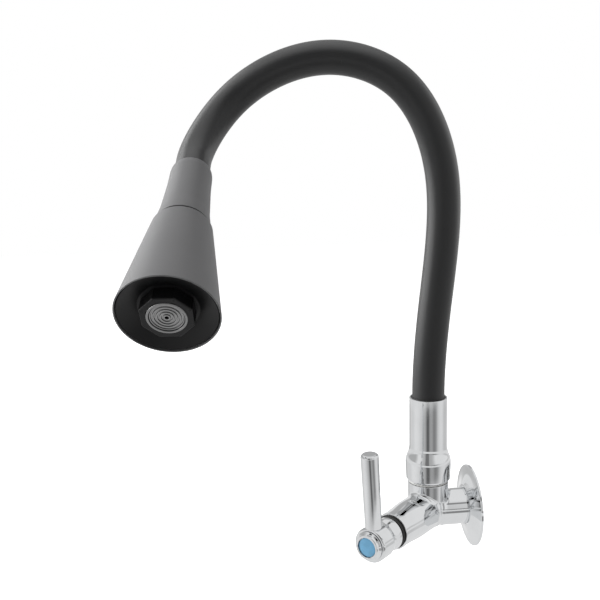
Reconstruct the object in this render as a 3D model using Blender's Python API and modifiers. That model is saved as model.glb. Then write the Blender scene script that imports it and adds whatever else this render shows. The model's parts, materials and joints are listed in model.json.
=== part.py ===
"""Wall-mounted sink tap with a self-supporting flexible spout and a conical spray head.

Units are metres, +Z is up.  The wall is the plane y = 0 and the tap stands out
towards -Y.  The origin is on the inlet's axis, at the wall.

Three straight axes carry the chrome work:
  inlet   from the origin along -Y
  neck    vertical, NECK_OUT in front of the wall
  barrel  level, BARREL_ANGLE to the right of the inlet's direction
The flexible spout follows a smooth route from the swivel collar, up, over and
down, and the spray head continues the route's last direction.
"""

import math

import bmesh
import bpy
import numpy as np
from mathutils import Matrix, Vector

# ---------------------------------------------------------------- fits and roundness
GAP = 0.0003                  # play between two pieces that touch or slide
EDGE = 0.0004                 # broken edge of a turned piece
OVERRUN = 0.001               # a cutter's length past the face that it cuts
ROUND = 32                    # facets round a turned piece
ROUND_MIDDLE = 24             # facets round a slimmer one
ROUND_SMALL = 16              # facets round a hidden one
ROUND_SCREW = 12              # facets round a screw's hole
RING_SIDES = 6                # facets round an O-ring's cord
SMOOTH_LIMIT = 40.0           # degrees; a sharper edge stays sharp when shaded

# ---------------------------------------------------------------- inlet and wall flange
NECK_OUT = 0.0310             # neck's axis in front of the wall
THREAD_RADIUS = 0.00932       # half-inch inner pipe thread of the inlet, over its crests
THREAD_DEPTH = 0.0110
THREAD_WALL = 0.0032
ARM_RADIUS = THREAD_RADIUS + THREAD_WALL
INLET_STEP = 0.0038           # stop for the pipe at the thread's end
INLET_BORE = THREAD_RADIUS - INLET_STEP
FLANGE_RADIUS = 0.0280
FLANGE_EDGE = 0.0018          # thickness of the flange's rim
FLANGE_RISE = 0.0052          # height of its crown round the arm
FLANGE_WALL = 0.0015
FLANGE_LIP = 0.0036           # width of the flat ring that meets the wall
FLANGE_STEPS = 4              # points along the dome
CROWN_WIDTH = 0.0016          # flat crown round the arm

# ---------------------------------------------------------------- body casting
NECK_RADIUS = 0.0139
NECK_TOP = 0.0200
NECK_WALL = 0.0061
NECK_BORE = NECK_RADIUS - NECK_WALL
NECK_BORE_DEPTH = 0.0144
NECK_BORE_FLOOR = NECK_TOP - NECK_BORE_DEPTH
BARREL_ANGLE = 45.0
BARREL_ROOT_RADIUS = 0.0134
BARREL_RADIUS = 0.0123
BELLY_PROUD = 0.0002          # the round chamber stands over the widest arm by this
BELLY_RADIUS = max(ARM_RADIUS, NECK_RADIUS, BARREL_ROOT_RADIUS) + BELLY_PROUD
BARREL_LENGTH = 0.0485        # from the neck's axis to the barrel's mouth
BARREL_NOSE = 0.0065          # straight stretch at the mouth
BARREL_TAPER = 0.0180
BARREL_TAPER_END = BARREL_LENGTH - BARREL_NOSE
BARREL_TAPER_START = BARREL_TAPER_END - BARREL_TAPER
CORE_OVERLAP = 0.0002         # the three arms start this far past the common centre
BARREL_WALL = 0.0026
CAVITY_RADIUS = BARREL_RADIUS - BARREL_WALL
CAVITY_DEPTH = 0.0295
CAVITY_FLOOR = BARREL_LENGTH - CAVITY_DEPTH
MOUTH_STEP = 0.0015           # counterbore over the cavity
MOUTH_RADIUS = CAVITY_RADIUS + MOUTH_STEP
MOUTH_DEPTH = 0.0045
MOUTH_FLOOR = BARREL_LENGTH - MOUTH_DEPTH
SEAT_RADIUS = 0.0046
SEAT_DEPTH = 0.0090
SEAT_START = CAVITY_FLOOR - SEAT_DEPTH
PASSAGE_RADIUS = 0.0036
PASSAGE_REACH = 0.0040        # the seat's passage runs this far into the seat's bore
INLET_BORE_SHORT = 0.0140     # the inlet bore ends this far before the neck's axis
INLET_BORE_END = NECK_OUT - INLET_BORE_SHORT
PASSAGE_START = INLET_BORE_END - 0.0020
OUTLET_RADIUS = 0.0030
OUTLET_RISE = 0.0039          # the outlet passage leaves the neck's bore over its floor
OUTLET_DROP = 0.0020
OUTLET_REACH = 0.0080         # and meets the cavity this far from its floor

# ---------------------------------------------------------------- quarter-turn valve, along the barrel
SEAT_WASHER_LENGTH = 0.0024
SEAT_WASHER_WIDTH = 0.0032
SEAT_WASHER_RADIUS = SEAT_RADIUS + SEAT_WASHER_WIDTH
SEAT_WASHER_START = CAVITY_FLOOR + GAP
SEAT_WASHER_END = SEAT_WASHER_START + SEAT_WASHER_LENGTH
DISC_THICKNESS = 0.0028
SPINDLE_RADIUS = 0.0040
SPINDLE_FOOT_LENGTH = 0.0030
BONNET_WALL = 0.0022
BONNET_RADIUS = CAVITY_RADIUS - GAP
SOCKET_RADIUS = BONNET_RADIUS - BONNET_WALL
SOCKET_SPARE = 0.0030         # free length of the bonnet's socket past the spindle's foot
BONNET_START = SEAT_WASHER_END + GAP
FIXED_DISC_START = BONNET_START + GAP
TURNING_DISC_START = FIXED_DISC_START + DISC_THICKNESS + GAP
SPINDLE_START = TURNING_DISC_START + DISC_THICKNESS + GAP
SPINDLE_FOOT_END = SPINDLE_START + SPINDLE_FOOT_LENGTH
SOCKET_END = SPINDLE_FOOT_END + SOCKET_SPARE
WINDOW_RADIUS = 0.0028
WINDOW_MARGIN = 0.0012
WINDOW_PLACE = SOCKET_END - WINDOW_RADIUS - WINDOW_MARGIN
DISC_RADIUS = SOCKET_RADIUS - GAP
PORT_RADIUS = 0.28 * DISC_RADIUS
PORT_OFFSET = 0.52 * DISC_RADIUS
SPINDLE_FOOT_RADIUS = SOCKET_RADIUS - 4 * GAP
BONNET_FLANGE = 0.0030
NOSE_WALL = 0.0025
NOSE_LENGTH = 0.0070
NOSE_RADIUS = SPINDLE_RADIUS + GAP + NOSE_WALL
NOSE_START = MOUTH_FLOOR + GAP + BONNET_FLANGE
NOSE_END = NOSE_START + NOSE_LENGTH
RING_CORD = 0.0007            # half thickness of an O-ring's cord
RING_GROOVE = 2 * RING_CORD   # depth of its groove
SPINDLE_RING_SIDE = 0.0020    # the two rings lie this far before and past the barrel's mouth
SPINDLE_RING_PLACES = (BARREL_LENGTH - SPINDLE_RING_SIDE, BARREL_LENGTH + SPINDLE_RING_SIDE)
MOUTH_RING_PROUD = 0.0024     # black ring beyond the barrel's mouth

# ---------------------------------------------------------------- lever handle, along the barrel
HANDLE_START = BARREL_LENGTH + MOUTH_RING_PROUD + GAP
SKIRT_STEP = 0.0010           # skirt under the barrel's radius
SKIRT_RADIUS = BARREL_RADIUS - SKIRT_STEP
SKIRT_EDGE = 0.0015           # straight rim of the skirt
SKIRT_LENGTH = 0.0078
SKIRT_PLAY = 0.0008           # round the bonnet's nose
WAIST_WALL = 0.0022
WAIST_RADIUS = NOSE_RADIUS + SKIRT_PLAY + WAIST_WALL
WAIST_PLACE = HANDLE_START + SKIRT_LENGTH
WAIST_LENGTH = 0.0040
DRUM_RADIUS = 0.0115
DRUM_LENGTH = 0.0112
DRUM_ROUND = 0.0018
DRUM_START = WAIST_PLACE + WAIST_LENGTH
DRUM_END = DRUM_START + DRUM_LENGTH
PIN_STUD_RADIUS = 0.0022
PIN_STUD_WALL = 0.0005        # hub between the stud's hole and the recess
PIN_PLACE = (DRUM_START + DRUM_END) / 2.0
RECESS_WALL = 0.0035          # drum round the recess in its end
RECESS_RADIUS = DRUM_RADIUS - RECESS_WALL
RECESS_FLOOR = PIN_PLACE + PIN_STUD_RADIUS + GAP + PIN_STUD_WALL
SCREW_HEAD_RADIUS = 0.0036
SCREW_HEAD_HEIGHT = 0.0022
SCREW_HEAD_PLAY = 0.0008
SCREW_HEAD_SUNK = 0.0012      # under the recess's floor
SCREW_SEAT = RECESS_FLOOR - SCREW_HEAD_SUNK - SCREW_HEAD_HEIGHT
SCREW_RADIUS = 0.0016
SCREW_REACH = 0.0110          # into the spindle
SCREW_SLOT = 0.0009
HUB_WEB = 0.0020              # hub between the spindle's end and the screw's head
SPINDLE_END = SCREW_SEAT - 2 * GAP - HUB_WEB
CAP_TUBE_WALL = 0.0015        # the index cap's tube, which plugs into the recess
CAP_FLARE_STEP = 0.0019       # the cap's foot under the drum's radius
CAP_FLARE_RADIUS = DRUM_RADIUS - CAP_FLARE_STEP
CAP_RIM_STEP = 0.0033
CAP_RIM_RADIUS = DRUM_RADIUS - CAP_RIM_STEP
CAP_RIM_WIDTH = 0.0014
CAP_RIM_INNER = CAP_RIM_RADIUS - CAP_RIM_WIDTH
CAP_FOOT = 0.0006             # thickness of the flare's edge
CAP_HEIGHT = 0.0036
CAP_END = DRUM_END + CAP_HEIGHT
CAP_RIM_BEVEL = 0.0016        # height of the rim's sloping outside
INDEX_DISC_SEAT = 0.0018      # depth of the disc's seat in the cap
INDEX_DISC_SUNK = 0.0004
PIN_LEAN = 4.4                # degrees, away from the wall
PIN_BASE_RADIUS = 0.0054
PIN_TOP_RADIUS = 0.0058
PIN_TOP = 0.0609              # height of the pin's end over the spindle's axis
PIN_CHAMFER = 0.0016
PIN_SPOT = 0.0008             # flat sunk into the drum under the pin
PIN_STUD_REACH = 0.0045       # stud under the flat
SPOT_FLOOR = DRUM_RADIUS - PIN_SPOT
PIN_STUD_START = SPOT_FLOOR - PIN_STUD_REACH

# ---------------------------------------------------------------- swivel neck, heights over the inlet
BEARING_THICKNESS = 0.0009
BEARING_START = NECK_TOP + GAP
COLLAR_START = BEARING_START + BEARING_THICKNESS + GAP
NIPPLE_SHOULDER = 0.0024      # nipple over the neck's bore
NIPPLE_RADIUS = NECK_BORE + NIPPLE_SHOULDER
NIPPLE_HEIGHT = 0.0165
NIPPLE_TOP = NECK_TOP + NIPPLE_HEIGHT
NIPPLE_WALL = 0.0025          # of its screwed foot
NIPPLE_BORE = NECK_BORE - GAP - NIPPLE_WALL
NIPPLE_FOOT = 0.0076          # length of the foot in the neck's bore
NIPPLE_GROOVE = 0.0012        # half width of a groove for a rubber ring
NIPPLE_GROOVE_DEPTH = 0.0017
NIPPLE_RING_PLACES = (NIPPLE_TOP - 0.0078, NIPPLE_TOP - 0.0038)
CLIP_HEIGHT = 0.0043          # retaining clip over the neck's top
CLIP_PLACE = NECK_TOP + CLIP_HEIGHT
CLIP_CORD = 0.0006
CLIP_OPENING = 50.0           # degrees left open in the clip
CLIP_POINTS = 15
COLLAR_PLAY = 0.0006          # collar's bore round the nipple
COLLAR_BORE = NIPPLE_RADIUS + COLLAR_PLAY
COLLAR_WALL = 0.0042
COLLAR_FOOT_RADIUS = COLLAR_BORE + COLLAR_WALL
COLLAR_FOOT_BEVEL = 0.0010
COLLAR_BULGE = 0.0008         # bulge over the foot
COLLAR_BULGE_RADIUS = COLLAR_FOOT_RADIUS + COLLAR_BULGE
SHOULDER_FOOT = NIPPLE_TOP + 0.0010
SHOULDER_LENGTH = 0.0050
SHOULDER_TOP = SHOULDER_FOOT + SHOULDER_LENGTH
COLLAR_STRAIGHT = 0.0377
COLLAR_TOP = SHOULDER_TOP + COLLAR_STRAIGHT

# ---------------------------------------------------------------- flexible spout
SLEEVE_RADIUS = 0.0110
SLEEVE_WALL = 0.0027
HOSE_PLAY = 0.0006            # between the layers of the spout
CORE_RADIUS = SLEEVE_RADIUS - SLEEVE_WALL - HOSE_PLAY
CORE_WALL = 0.0021
WATER_HOSE_RADIUS = CORE_RADIUS - CORE_WALL - HOSE_PLAY
WATER_HOSE_WALL = 0.0016
SLEEVE_TUCK = 0.0090          # length of sleeve inside the collar
CORE_TUCK = 0.0190            # length of core inside the collar
HOSE_TUCK = 0.0070            # water hose past the core's end
FITTING_CLEAR = 0.0012        # end fitting to the sleeve's end
FITTING_WEB = 0.0060          # fitting past the water hose
FITTING_BORE = WATER_HOSE_RADIUS - 0.0014
ROOT_FITTING_END = COLLAR_TOP - SLEEVE_TUCK - FITTING_CLEAR
ROOT_FITTING_START = NIPPLE_TOP + 0.0020
SEAL_WALL = 0.0009            # rubber ring at the collar's mouth
SEAL_DEPTH = 0.0045
SEAL_PROUD = 0.0004
COLLAR_MOUTH_RADIUS = SLEEVE_RADIUS + SEAL_WALL
COLLAR_LIP = 0.0011
COLLAR_RADIUS = COLLAR_MOUTH_RADIUS + COLLAR_LIP
BEND_PLACES = (0.080, 0.200, 0.318)   # pivots, along the route
BEND_CLEARANCE = 0.0026       # core to pivot, on either side
ROUTE_STEP = 0.0130           # between the stations that all layers share
ROUTE_FINE = 60               # spline points between two of the route's points
END_STRAIGHT = 0.0012
SLEEVE_ROUND = 6              # bevel resolution of each layer
CORE_ROUND = 3
WATER_HOSE_ROUND = 2
ROUTE_OFFSETS = [             # centre line, from the collar's mouth to the head
    (0.0000, 0.0000, 0.0000),
    (0.0002, 0.0008, 0.0258),
    (0.0008, 0.0046, 0.0672),
    (0.0015, 0.0088, 0.1075),
    (0.0015, 0.0088, 0.1469),
    (0.0006, 0.0032, 0.1738),
    (-0.0034, -0.0192, 0.2105),
    (-0.0102, -0.0595, 0.2267),
    (-0.0168, -0.0986, 0.2193),
    (-0.0217, -0.1232, 0.2038),
    (-0.0165, -0.1408, 0.1844),
    (0.0019, -0.1528, 0.1619),
]
ARCH_POINT = 7                # the route's point at the top of the arch
HEAD_DIRECTION = Vector((0.8152, -0.1300, -0.5644)).normalized()

# ---------------------------------------------------------------- spray head, distances from the route's end
MOUTH_START = 0.0108          # rim of the cap
MOUTH_LIP = 0.0012            # cap's rim over the sleeve
CAP_MOUTH_RADIUS = SLEEVE_RADIUS + MOUTH_LIP
CAP_ROUND = 0.0042            # length of the cap's rounded end
CAP_SHOULDER = MOUTH_START + CAP_ROUND
CAP_SHOULDER_RISE = 0.0021
CAP_SHOULDER_RADIUS = SLEEVE_RADIUS + CAP_SHOULDER_RISE
CAP_SEAM_RADIUS = 0.0151      # cap where it meets the cone
TIP_SLEEVE_END = MOUTH_START + 0.0037   # the sleeve and the core inside the cap
TIP_CORE_END = TIP_SLEEVE_END + 0.0100
SLEEVE_POCKET = TIP_SLEEVE_END + 0.0040
SEAM = 0.0650
SEAM_RADIUS = 0.0177          # cone at its upper edge, a step over the cap
SEAM_GAP = 0.0006
CONE_LENGTH = 0.0706
FACE = SEAM + CONE_LENGTH     # rim of the cone
FACE_RADIUS = 0.0285
HEAD_WALL = 0.0020
WEB = 0.0060                  # end wall of the cap, with the stem's hole
WEB_START = SEAM - SEAM_GAP - WEB
TIP_FITTING_RADIUS = SLEEVE_RADIUS - 0.0006
TIP_FITTING_START = TIP_SLEEVE_END + FITTING_CLEAR
TIP_FITTING_END = TIP_CORE_END + HOSE_TUCK + FITTING_WEB
STEM_RADIUS = 0.0052
STEM_WALL = 0.0020
STEM_BORE = STEM_RADIUS - STEM_WALL
STEM_FLANGE_WIDTH = 0.0034
STEM_FLANGE = 0.0030
SHELL_NECK_WALL = 0.0035      # inner sleeve of the cone, which turns on the stem
SHELL_NECK_RADIUS = STEM_RADIUS + GAP + SHELL_NECK_WALL
SHELL_NECK_LENGTH = 0.0230
SHELL_NECK_END = SEAM + SHELL_NECK_LENGTH
STEM_NUT_LENGTH = 0.0036
STEM_NUT_RADIUS = SHELL_NECK_RADIUS - 0.0010
STEM_END = SHELL_NECK_END + GAP + STEM_NUT_LENGTH + 0.0006
STEM_RING_PLACES = (SHELL_NECK_END - 0.0130, SHELL_NECK_END - 0.0080)
GUIDE_WALL = 0.0015
GUIDE_INNER = SHELL_NECK_RADIUS + GAP
GUIDE_START = SEAM + 0.0110   # the water guide slips over the cone's inner sleeve
GUIDE_WIDENS = SHELL_NECK_END + 0.0080
GUIDE_FLARE = 0.0020
RIM_WALL = 0.0009             # thin lip of the cone round the black face
RIM_SLOPE = 0.0002
LEDGE_DEPTH = 0.0045          # ledge that carries the black face
LEDGE = FACE - LEDGE_DEPTH
DISH_SUNK = 0.0007            # edge of the black face below the rim
DISH_DEPTH = 0.0060
DISH_FLOOR = FACE - DISH_DEPTH
DISH_THICKNESS = 0.0022
AERATOR_RADIUS = 0.0110
AERATOR_WALL = 0.0014
GUIDE_RADIUS = AERATOR_RADIUS + 0.0006
GUIDE_END = DISH_FLOOR - 0.0006
SEAL_THICKNESS = 0.0009
SEAL_LIP = 0.0010             # rubber seal reaches this far inside the housing
AERATOR_START = GUIDE_END + GAP + SEAL_THICKNESS + GAP
NUT_SIDES = 8
NUT_WALL = 0.0027
NUT_CORNER_RADIUS = (AERATOR_RADIUS + GAP + NUT_WALL) / math.cos(math.pi / NUT_SIDES)
NUT_PROUD = 0.0020            # nut past the cone's rim
NUT_END = FACE + NUT_PROUD
AERATOR_END = NUT_END + 0.0005
DISH_FLOOR_RADIUS = NUT_CORNER_RADIUS + 0.0010
INSERT_SUNK = 0.0007
INSERT_DEPTH = 0.0032
INSERT_RING_COUNT = 3         # raised rings between the insert's rim and its hub
INSERT_RIM = 0.0005
INSERT_HUB = 0.0019
INSERT_SLOPE = 0.0001
INSERT_GROOVE = 0.0008
INSERT_HOLE = 0.0011

# ---------------------------------------------------------------- scene, collections, materials


def clear_scene():
    for item in list(bpy.data.objects):
        bpy.data.objects.remove(item, do_unlink=True)


def collection(name):
    made = bpy.data.collections.new(name)
    bpy.context.scene.collection.children.link(made)
    return made


def material(name, colour, roughness, metallic=0.0):
    made = bpy.data.materials.new(name)
    made.use_nodes = True
    shader = made.node_tree.nodes["Principled BSDF"]
    shader.inputs["Base Color"].default_value = (*colour, 1.0)
    shader.inputs["Roughness"].default_value = roughness
    shader.inputs["Metallic"].default_value = metallic
    return made


clear_scene()
PARTS = collection("flexible_spout_tap")
CUTTERS = collection("cutters")

CHROME = ((0.80, 0.81, 0.82), 0.08, 1.0)
BRASS = ((0.72, 0.56, 0.28), 0.30, 1.0)
STEEL = ((0.60, 0.61, 0.62), 0.35, 1.0)
SLEEVE_GREY = ((0.045, 0.047, 0.050), 0.55, 0.0)
HEAD_GREY = ((0.16, 0.16, 0.165), 0.45, 0.0)
FACE_BLACK = ((0.015, 0.015, 0.016), 0.40, 0.0)
RUBBER = ((0.012, 0.012, 0.012), 0.60, 0.0)
CERAMIC = ((0.85, 0.84, 0.80), 0.25, 0.0)
PLASTIC_WHITE = ((0.80, 0.80, 0.78), 0.40, 0.0)
AERATOR_GREY = ((0.33, 0.33, 0.33), 0.40, 0.0)
INDEX_BLUE = ((0.10, 0.36, 0.62), 0.30, 0.0)
HOSE_WHITE = ((0.70, 0.70, 0.68), 0.45, 0.0)

# ---------------------------------------------------------------- frames


def axis_frame(origin, direction):
    """Matrix whose local +Z runs along the direction, from the origin."""
    turn = Vector(direction).to_track_quat("Z", "Y").to_matrix().to_4x4()
    return Matrix.Translation(Vector(origin)) @ turn


BARREL_TURN = math.radians(BARREL_ANGLE)
BARREL_DIRECTION = Vector((math.sin(BARREL_TURN), -math.cos(BARREL_TURN), 0.0))
NECK_FOOT = Vector((0.0, -NECK_OUT, 0.0))
INLET_FRAME = axis_frame((0.0, 0.0, 0.0), (0.0, -1.0, 0.0))
NECK_FRAME = Matrix.Translation(NECK_FOOT)
BARREL_FRAME = axis_frame(NECK_FOOT, BARREL_DIRECTION)


def empty(name, frame):
    """An unseen marker on a joint's axis, its local +Z along the axis."""
    made = bpy.data.objects.new(name, None)
    made.empty_display_size = 0.01
    PARTS.objects.link(made)
    made.matrix_world = frame
    return made


def settle(item, frame, joint=None, finish=None, cutter=False):
    """Link an object, place it in the world and hang it on its joint's empty."""
    home = CUTTERS if cutter else PARTS
    home.objects.link(item)
    if joint is None:
        item.matrix_basis = frame
    else:
        item.parent = joint
        item.matrix_basis = joint.matrix_world.inverted() @ frame
    if cutter:
        item.hide_render = True
        item.display_type = "WIRE"
    if finish is not None:
        item.data.materials.append(material(item.name, *finish))
    return item


# ---------------------------------------------------------------- solids


def turned(name, outline, frame, joint=None, finish=None, segments=ROUND, cutter=False, closed=False):
    """Turn an outline of (radius, height) points round local Z.

    The outline runs down the outer side from the top and, if closed, back up
    through the bore.
    """
    mesh = bpy.data.meshes.new(name)
    count = len(outline)
    edges = [(i, i + 1) for i in range(count - 1)]
    if closed:
        edges.append((count - 1, 0))
    mesh.from_pydata([(radius, 0.0, height) for radius, height in outline], edges, [])
    made = bpy.data.objects.new(name, mesh)
    screw = made.modifiers.new("turn", "SCREW")
    screw.axis = "Z"
    screw.angle = 2.0 * math.pi
    screw.steps = segments
    screw.render_steps = segments
    screw.use_merge_vertices = True
    screw.merge_threshold = 0.00001
    screw.use_smooth_shade = True
    return settle(made, frame, joint, finish, cutter)


def ring(name, outer, inner, start, end, frame, joint=None, finish=None, segments=ROUND_SMALL):
    """A plain tube between two heights on local Z."""
    outline = [(outer, end), (outer, start), (inner, start), (inner, end)]
    return turned(name, outline, frame, joint, finish, segments, closed=True)


def rod(name, radius, start, end, frame, joint=None, finish=None, segments=ROUND_SMALL, cutter=False):
    """A cylinder between two heights on local Z."""
    mesh = bpy.data.meshes.new(name)
    shape = bmesh.new()
    bmesh.ops.create_cone(shape, cap_ends=True, segments=segments, radius1=radius, radius2=radius,
                          depth=end - start)
    bmesh.ops.translate(shape, verts=shape.verts, vec=(0.0, 0.0, (start + end) / 2.0))
    shape.to_mesh(mesh)
    shape.free()
    mesh.shade_smooth()
    mesh.set_sharp_from_angle(angle=math.radians(SMOOTH_LIMIT))
    return settle(bpy.data.objects.new(name, mesh), frame, joint, finish, cutter)


def o_rings(name, radius, places, frame, joint=None):
    """One rubber ring, as its own object, at each place along local Z."""
    for i, place in enumerate(places):
        bpy.ops.mesh.primitive_torus_add(major_radius=radius, minor_radius=RING_CORD,
                                         major_segments=ROUND_SMALL, minor_segments=RING_SIDES)
        drawn = bpy.context.object
        mesh = drawn.data
        bpy.data.objects.remove(drawn, do_unlink=True)
        mesh.shade_smooth()
        place_frame = frame @ Matrix.Translation((0.0, 0.0, place))
        settle(bpy.data.objects.new(f"{name}_{i + 1}", mesh), place_frame, joint, RUBBER)


def combine(target, other, operation):
    change = target.modifiers.new(other.name, "BOOLEAN")
    change.operation = operation
    change.solver = "EXACT"
    change.object = other
    return target


def cut(target, other):
    return combine(target, other, "DIFFERENCE")


def join(target, other):
    return combine(target, other, "UNION")


def spun(frame, degrees):
    """The same axis, turned about itself so that facets of crossing pieces don't line up."""
    return frame @ Matrix.Rotation(math.radians(degrees), 4, "Z")


def span_frame(start, end):
    """Frame at a start point, its local +Z towards the end, and the distance between them."""
    start = Vector(start)
    end = Vector(end)
    return axis_frame(start, end - start), (end - start).length


# ---------------------------------------------------------------- the route of the flexible spout


def spline_slopes(knots, points, first, last):
    """Slopes of the cubic spline through the points that starts and ends along given directions."""
    count = len(points)
    steps = np.diff(knots)
    rises = np.diff(points, axis=0) / steps[:, None]
    system = np.zeros((count, count))
    target = np.zeros((count, 3))
    system[0, 0] = 1.0
    system[-1, -1] = 1.0
    target[0] = first
    target[-1] = last
    for i in range(1, count - 1):
        system[i, i - 1] = steps[i]
        system[i, i] = 2.0 * (steps[i - 1] + steps[i])
        system[i, i + 1] = steps[i - 1]
        target[i] = 3.0 * (steps[i] * rises[i - 1] + steps[i - 1] * rises[i])
    return np.linalg.solve(system, target)


def smooth_route(points, first, last):
    """Dense points on the spline, and the distance run at each of them."""
    points = np.array(points)
    knots = np.concatenate([[0.0], np.cumsum(np.linalg.norm(np.diff(points, axis=0), axis=1))])
    slopes = spline_slopes(knots, points, np.array(first), np.array(last))
    t = np.linspace(0.0, 1.0, ROUTE_FINE, endpoint=False)[:, None]
    pieces = []
    for i in range(len(points) - 1):
        step = knots[i + 1] - knots[i]
        pieces.append((2 * t**3 - 3 * t**2 + 1) * points[i] + (t**3 - 2 * t**2 + t) * step * slopes[i]
                      + (3 * t**2 - 2 * t**3) * points[i + 1] + (t**3 - t**2) * step * slopes[i + 1])
    dense = np.vstack(pieces + [points[-1:]])
    run = np.concatenate([[0.0], np.cumsum(np.linalg.norm(np.diff(dense, axis=0), axis=1))])
    return dense, run


COLLAR_MOUTH = NECK_FOOT + Vector((0.0, 0.0, COLLAR_TOP))
ROUTE = [tuple(COLLAR_MOUTH + Vector(offset)) for offset in ROUTE_OFFSETS]
ROUTE_POINTS, ROUTE_RUN = smooth_route(ROUTE, (0.0, 0.0, 1.0), HEAD_DIRECTION)
ROUTE_LENGTH = float(ROUTE_RUN[-1])
ROUTE_END = Vector(ROUTE[-1])
HEAD_FRAME = axis_frame(ROUTE_END, HEAD_DIRECTION)


def route_point(run):
    """Point on the centre line; before the collar's mouth and past the route's end it runs straight."""
    if run < 0.0:
        return COLLAR_MOUTH + Vector((0.0, 0.0, run))
    if run > ROUTE_LENGTH:
        return ROUTE_END + HEAD_DIRECTION * (run - ROUTE_LENGTH)
    return Vector([float(np.interp(run, ROUTE_RUN, ROUTE_POINTS[:, k])) for k in range(3)])


def route_direction(run, reach=0.0005):
    return (route_point(run + reach) - route_point(run - reach)).normalized()


def stations(start, end):
    """The shared stations between two distances along the route, and each end as a short straight.

    The straights turn the end faces square to the route.
    """
    count = math.floor(ROUTE_LENGTH / ROUTE_STEP)
    shared = [i * ROUTE_LENGTH / count for i in range(count + 1)]
    clear = ROUTE_STEP / 4.0
    inside = [run for run in shared if start + clear < run < end - clear]
    return [start, start + END_STRAIGHT] + inside + [end - END_STRAIGHT, end]


def flexible_tube(name, radius, wall, start, end, resolution, joint, finish):
    """A tube with a bore along the route, from one distance to another."""
    runs = stations(start, end)
    curve = bpy.data.curves.new(name, "CURVE")
    curve.dimensions = "3D"
    curve.bevel_depth = radius
    curve.bevel_resolution = resolution
    curve.use_fill_caps = False
    spline = curve.splines.new("POLY")
    spline.points.add(len(runs) - 1)
    home = joint.matrix_world.inverted()
    for point, run in zip(spline.points, runs):
        point.co = (*(home @ route_point(run)), 1.0)
    spline.use_smooth = True
    made = bpy.data.objects.new(name, curve)
    shell = made.modifiers.new("wall", "SOLIDIFY")
    shell.thickness = wall
    shell.offset = -1.0
    return settle(made, joint.matrix_world.copy(), joint, finish)


# ---------------------------------------------------------------- joints

LEVER_JOINT = empty("lever_axis", axis_frame(NECK_FOOT + BARREL_DIRECTION * DRUM_START, BARREL_DIRECTION))
SWIVEL_JOINT = empty("spout_swivel_axis", Matrix.Translation(NECK_FOOT + Vector((0.0, 0.0, NECK_TOP))))


def arch_normal():
    """Level direction square to the plane in which the spout arches over."""
    reach = Vector(ROUTE[ARCH_POINT]) - COLLAR_MOUTH
    return Vector((-reach.y, reach.x, 0.0)).normalized()


ARCH_AXIS = arch_normal()
TIP_AXIS = route_direction(BEND_PLACES[2]).cross(HEAD_DIRECTION).normalized()
LOW_JOINT = empty("hose_bend_low_axis", axis_frame(route_point(BEND_PLACES[0]), ARCH_AXIS))
CROWN_JOINT = empty("hose_bend_crown_axis", axis_frame(route_point(BEND_PLACES[1]), ARCH_AXIS))
TIP_JOINT = empty("hose_bend_tip_axis", axis_frame(route_point(BEND_PLACES[2]), TIP_AXIS))
HEAD_JOINT = empty("head_turn_axis", axis_frame(ROUTE_END + HEAD_DIRECTION * SEAM, HEAD_DIRECTION))

# ---------------------------------------------------------------- wall flange and body


def wall_flange():
    """Thin dome round the arm: a flat crown, a parabola down to the rim, and a flat ring at the wall."""
    crown = ARM_RADIUS + CROWN_WIDTH
    bore = ARM_RADIUS + GAP

    def dome(radius):
        fall = (FLANGE_RADIUS - radius) / (FLANGE_RADIUS - crown)
        return FLANGE_EDGE + (FLANGE_RISE - FLANGE_EDGE) * fall**2

    outer_radii = [crown + (FLANGE_RADIUS - crown) * i / FLANGE_STEPS for i in range(FLANGE_STEPS)]
    lip = FLANGE_RADIUS - FLANGE_LIP
    inner_radii = [crown + (lip - crown) * i / FLANGE_STEPS for i in range(FLANGE_STEPS + 1)]
    outline = [(bore, FLANGE_RISE)]
    outline += [(radius, dome(radius)) for radius in outer_radii]
    outline += [
        (FLANGE_RADIUS - EDGE, FLANGE_EDGE),
        (FLANGE_RADIUS, FLANGE_EDGE - EDGE),
        (FLANGE_RADIUS, 0.0),
        (lip + EDGE, 0.0),
    ]
    outline += [(radius, dome(radius) - FLANGE_WALL) for radius in reversed(inner_radii)]
    outline += [(bore, FLANGE_RISE - FLANGE_WALL)]
    turned("wall_flange", outline, INLET_FRAME, finish=CHROME, closed=True)


def body_casting():
    """Inlet arm, neck and barrel joined round a ball, then bored for the water and the valve."""
    arm = [
        (0.0, NECK_OUT),
        (ARM_RADIUS, NECK_OUT),
        (ARM_RADIUS, EDGE),
        (ARM_RADIUS - EDGE, 0.0),
        (0.0, 0.0),
    ]
    body = turned("body_casting", arm, INLET_FRAME, finish=CHROME)
    neck = [
        (0.0, NECK_TOP),
        (NECK_RADIUS - EDGE, NECK_TOP),
        (NECK_RADIUS, NECK_TOP - EDGE),
        (NECK_RADIUS, -CORE_OVERLAP),
        (0.0, -CORE_OVERLAP),
    ]
    join(body, turned("neck_form", neck, spun(NECK_FRAME, 2.3), cutter=True))
    barrel = [
        (0.0, BARREL_LENGTH),
        (BARREL_RADIUS - EDGE, BARREL_LENGTH),
        (BARREL_RADIUS, BARREL_LENGTH - EDGE),
        (BARREL_RADIUS, BARREL_TAPER_END),
        (BARREL_ROOT_RADIUS, BARREL_TAPER_START),
        (BARREL_ROOT_RADIUS, CORE_OVERLAP),
        (0.0, CORE_OVERLAP),
    ]
    join(body, turned("barrel_form", barrel, spun(BARREL_FRAME, 3.1), cutter=True))
    join(body, ball("belly_form", BELLY_RADIUS, spun(NECK_FRAME, 4.7)))
    water_ways(body)
    valve_chamber(body)


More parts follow.
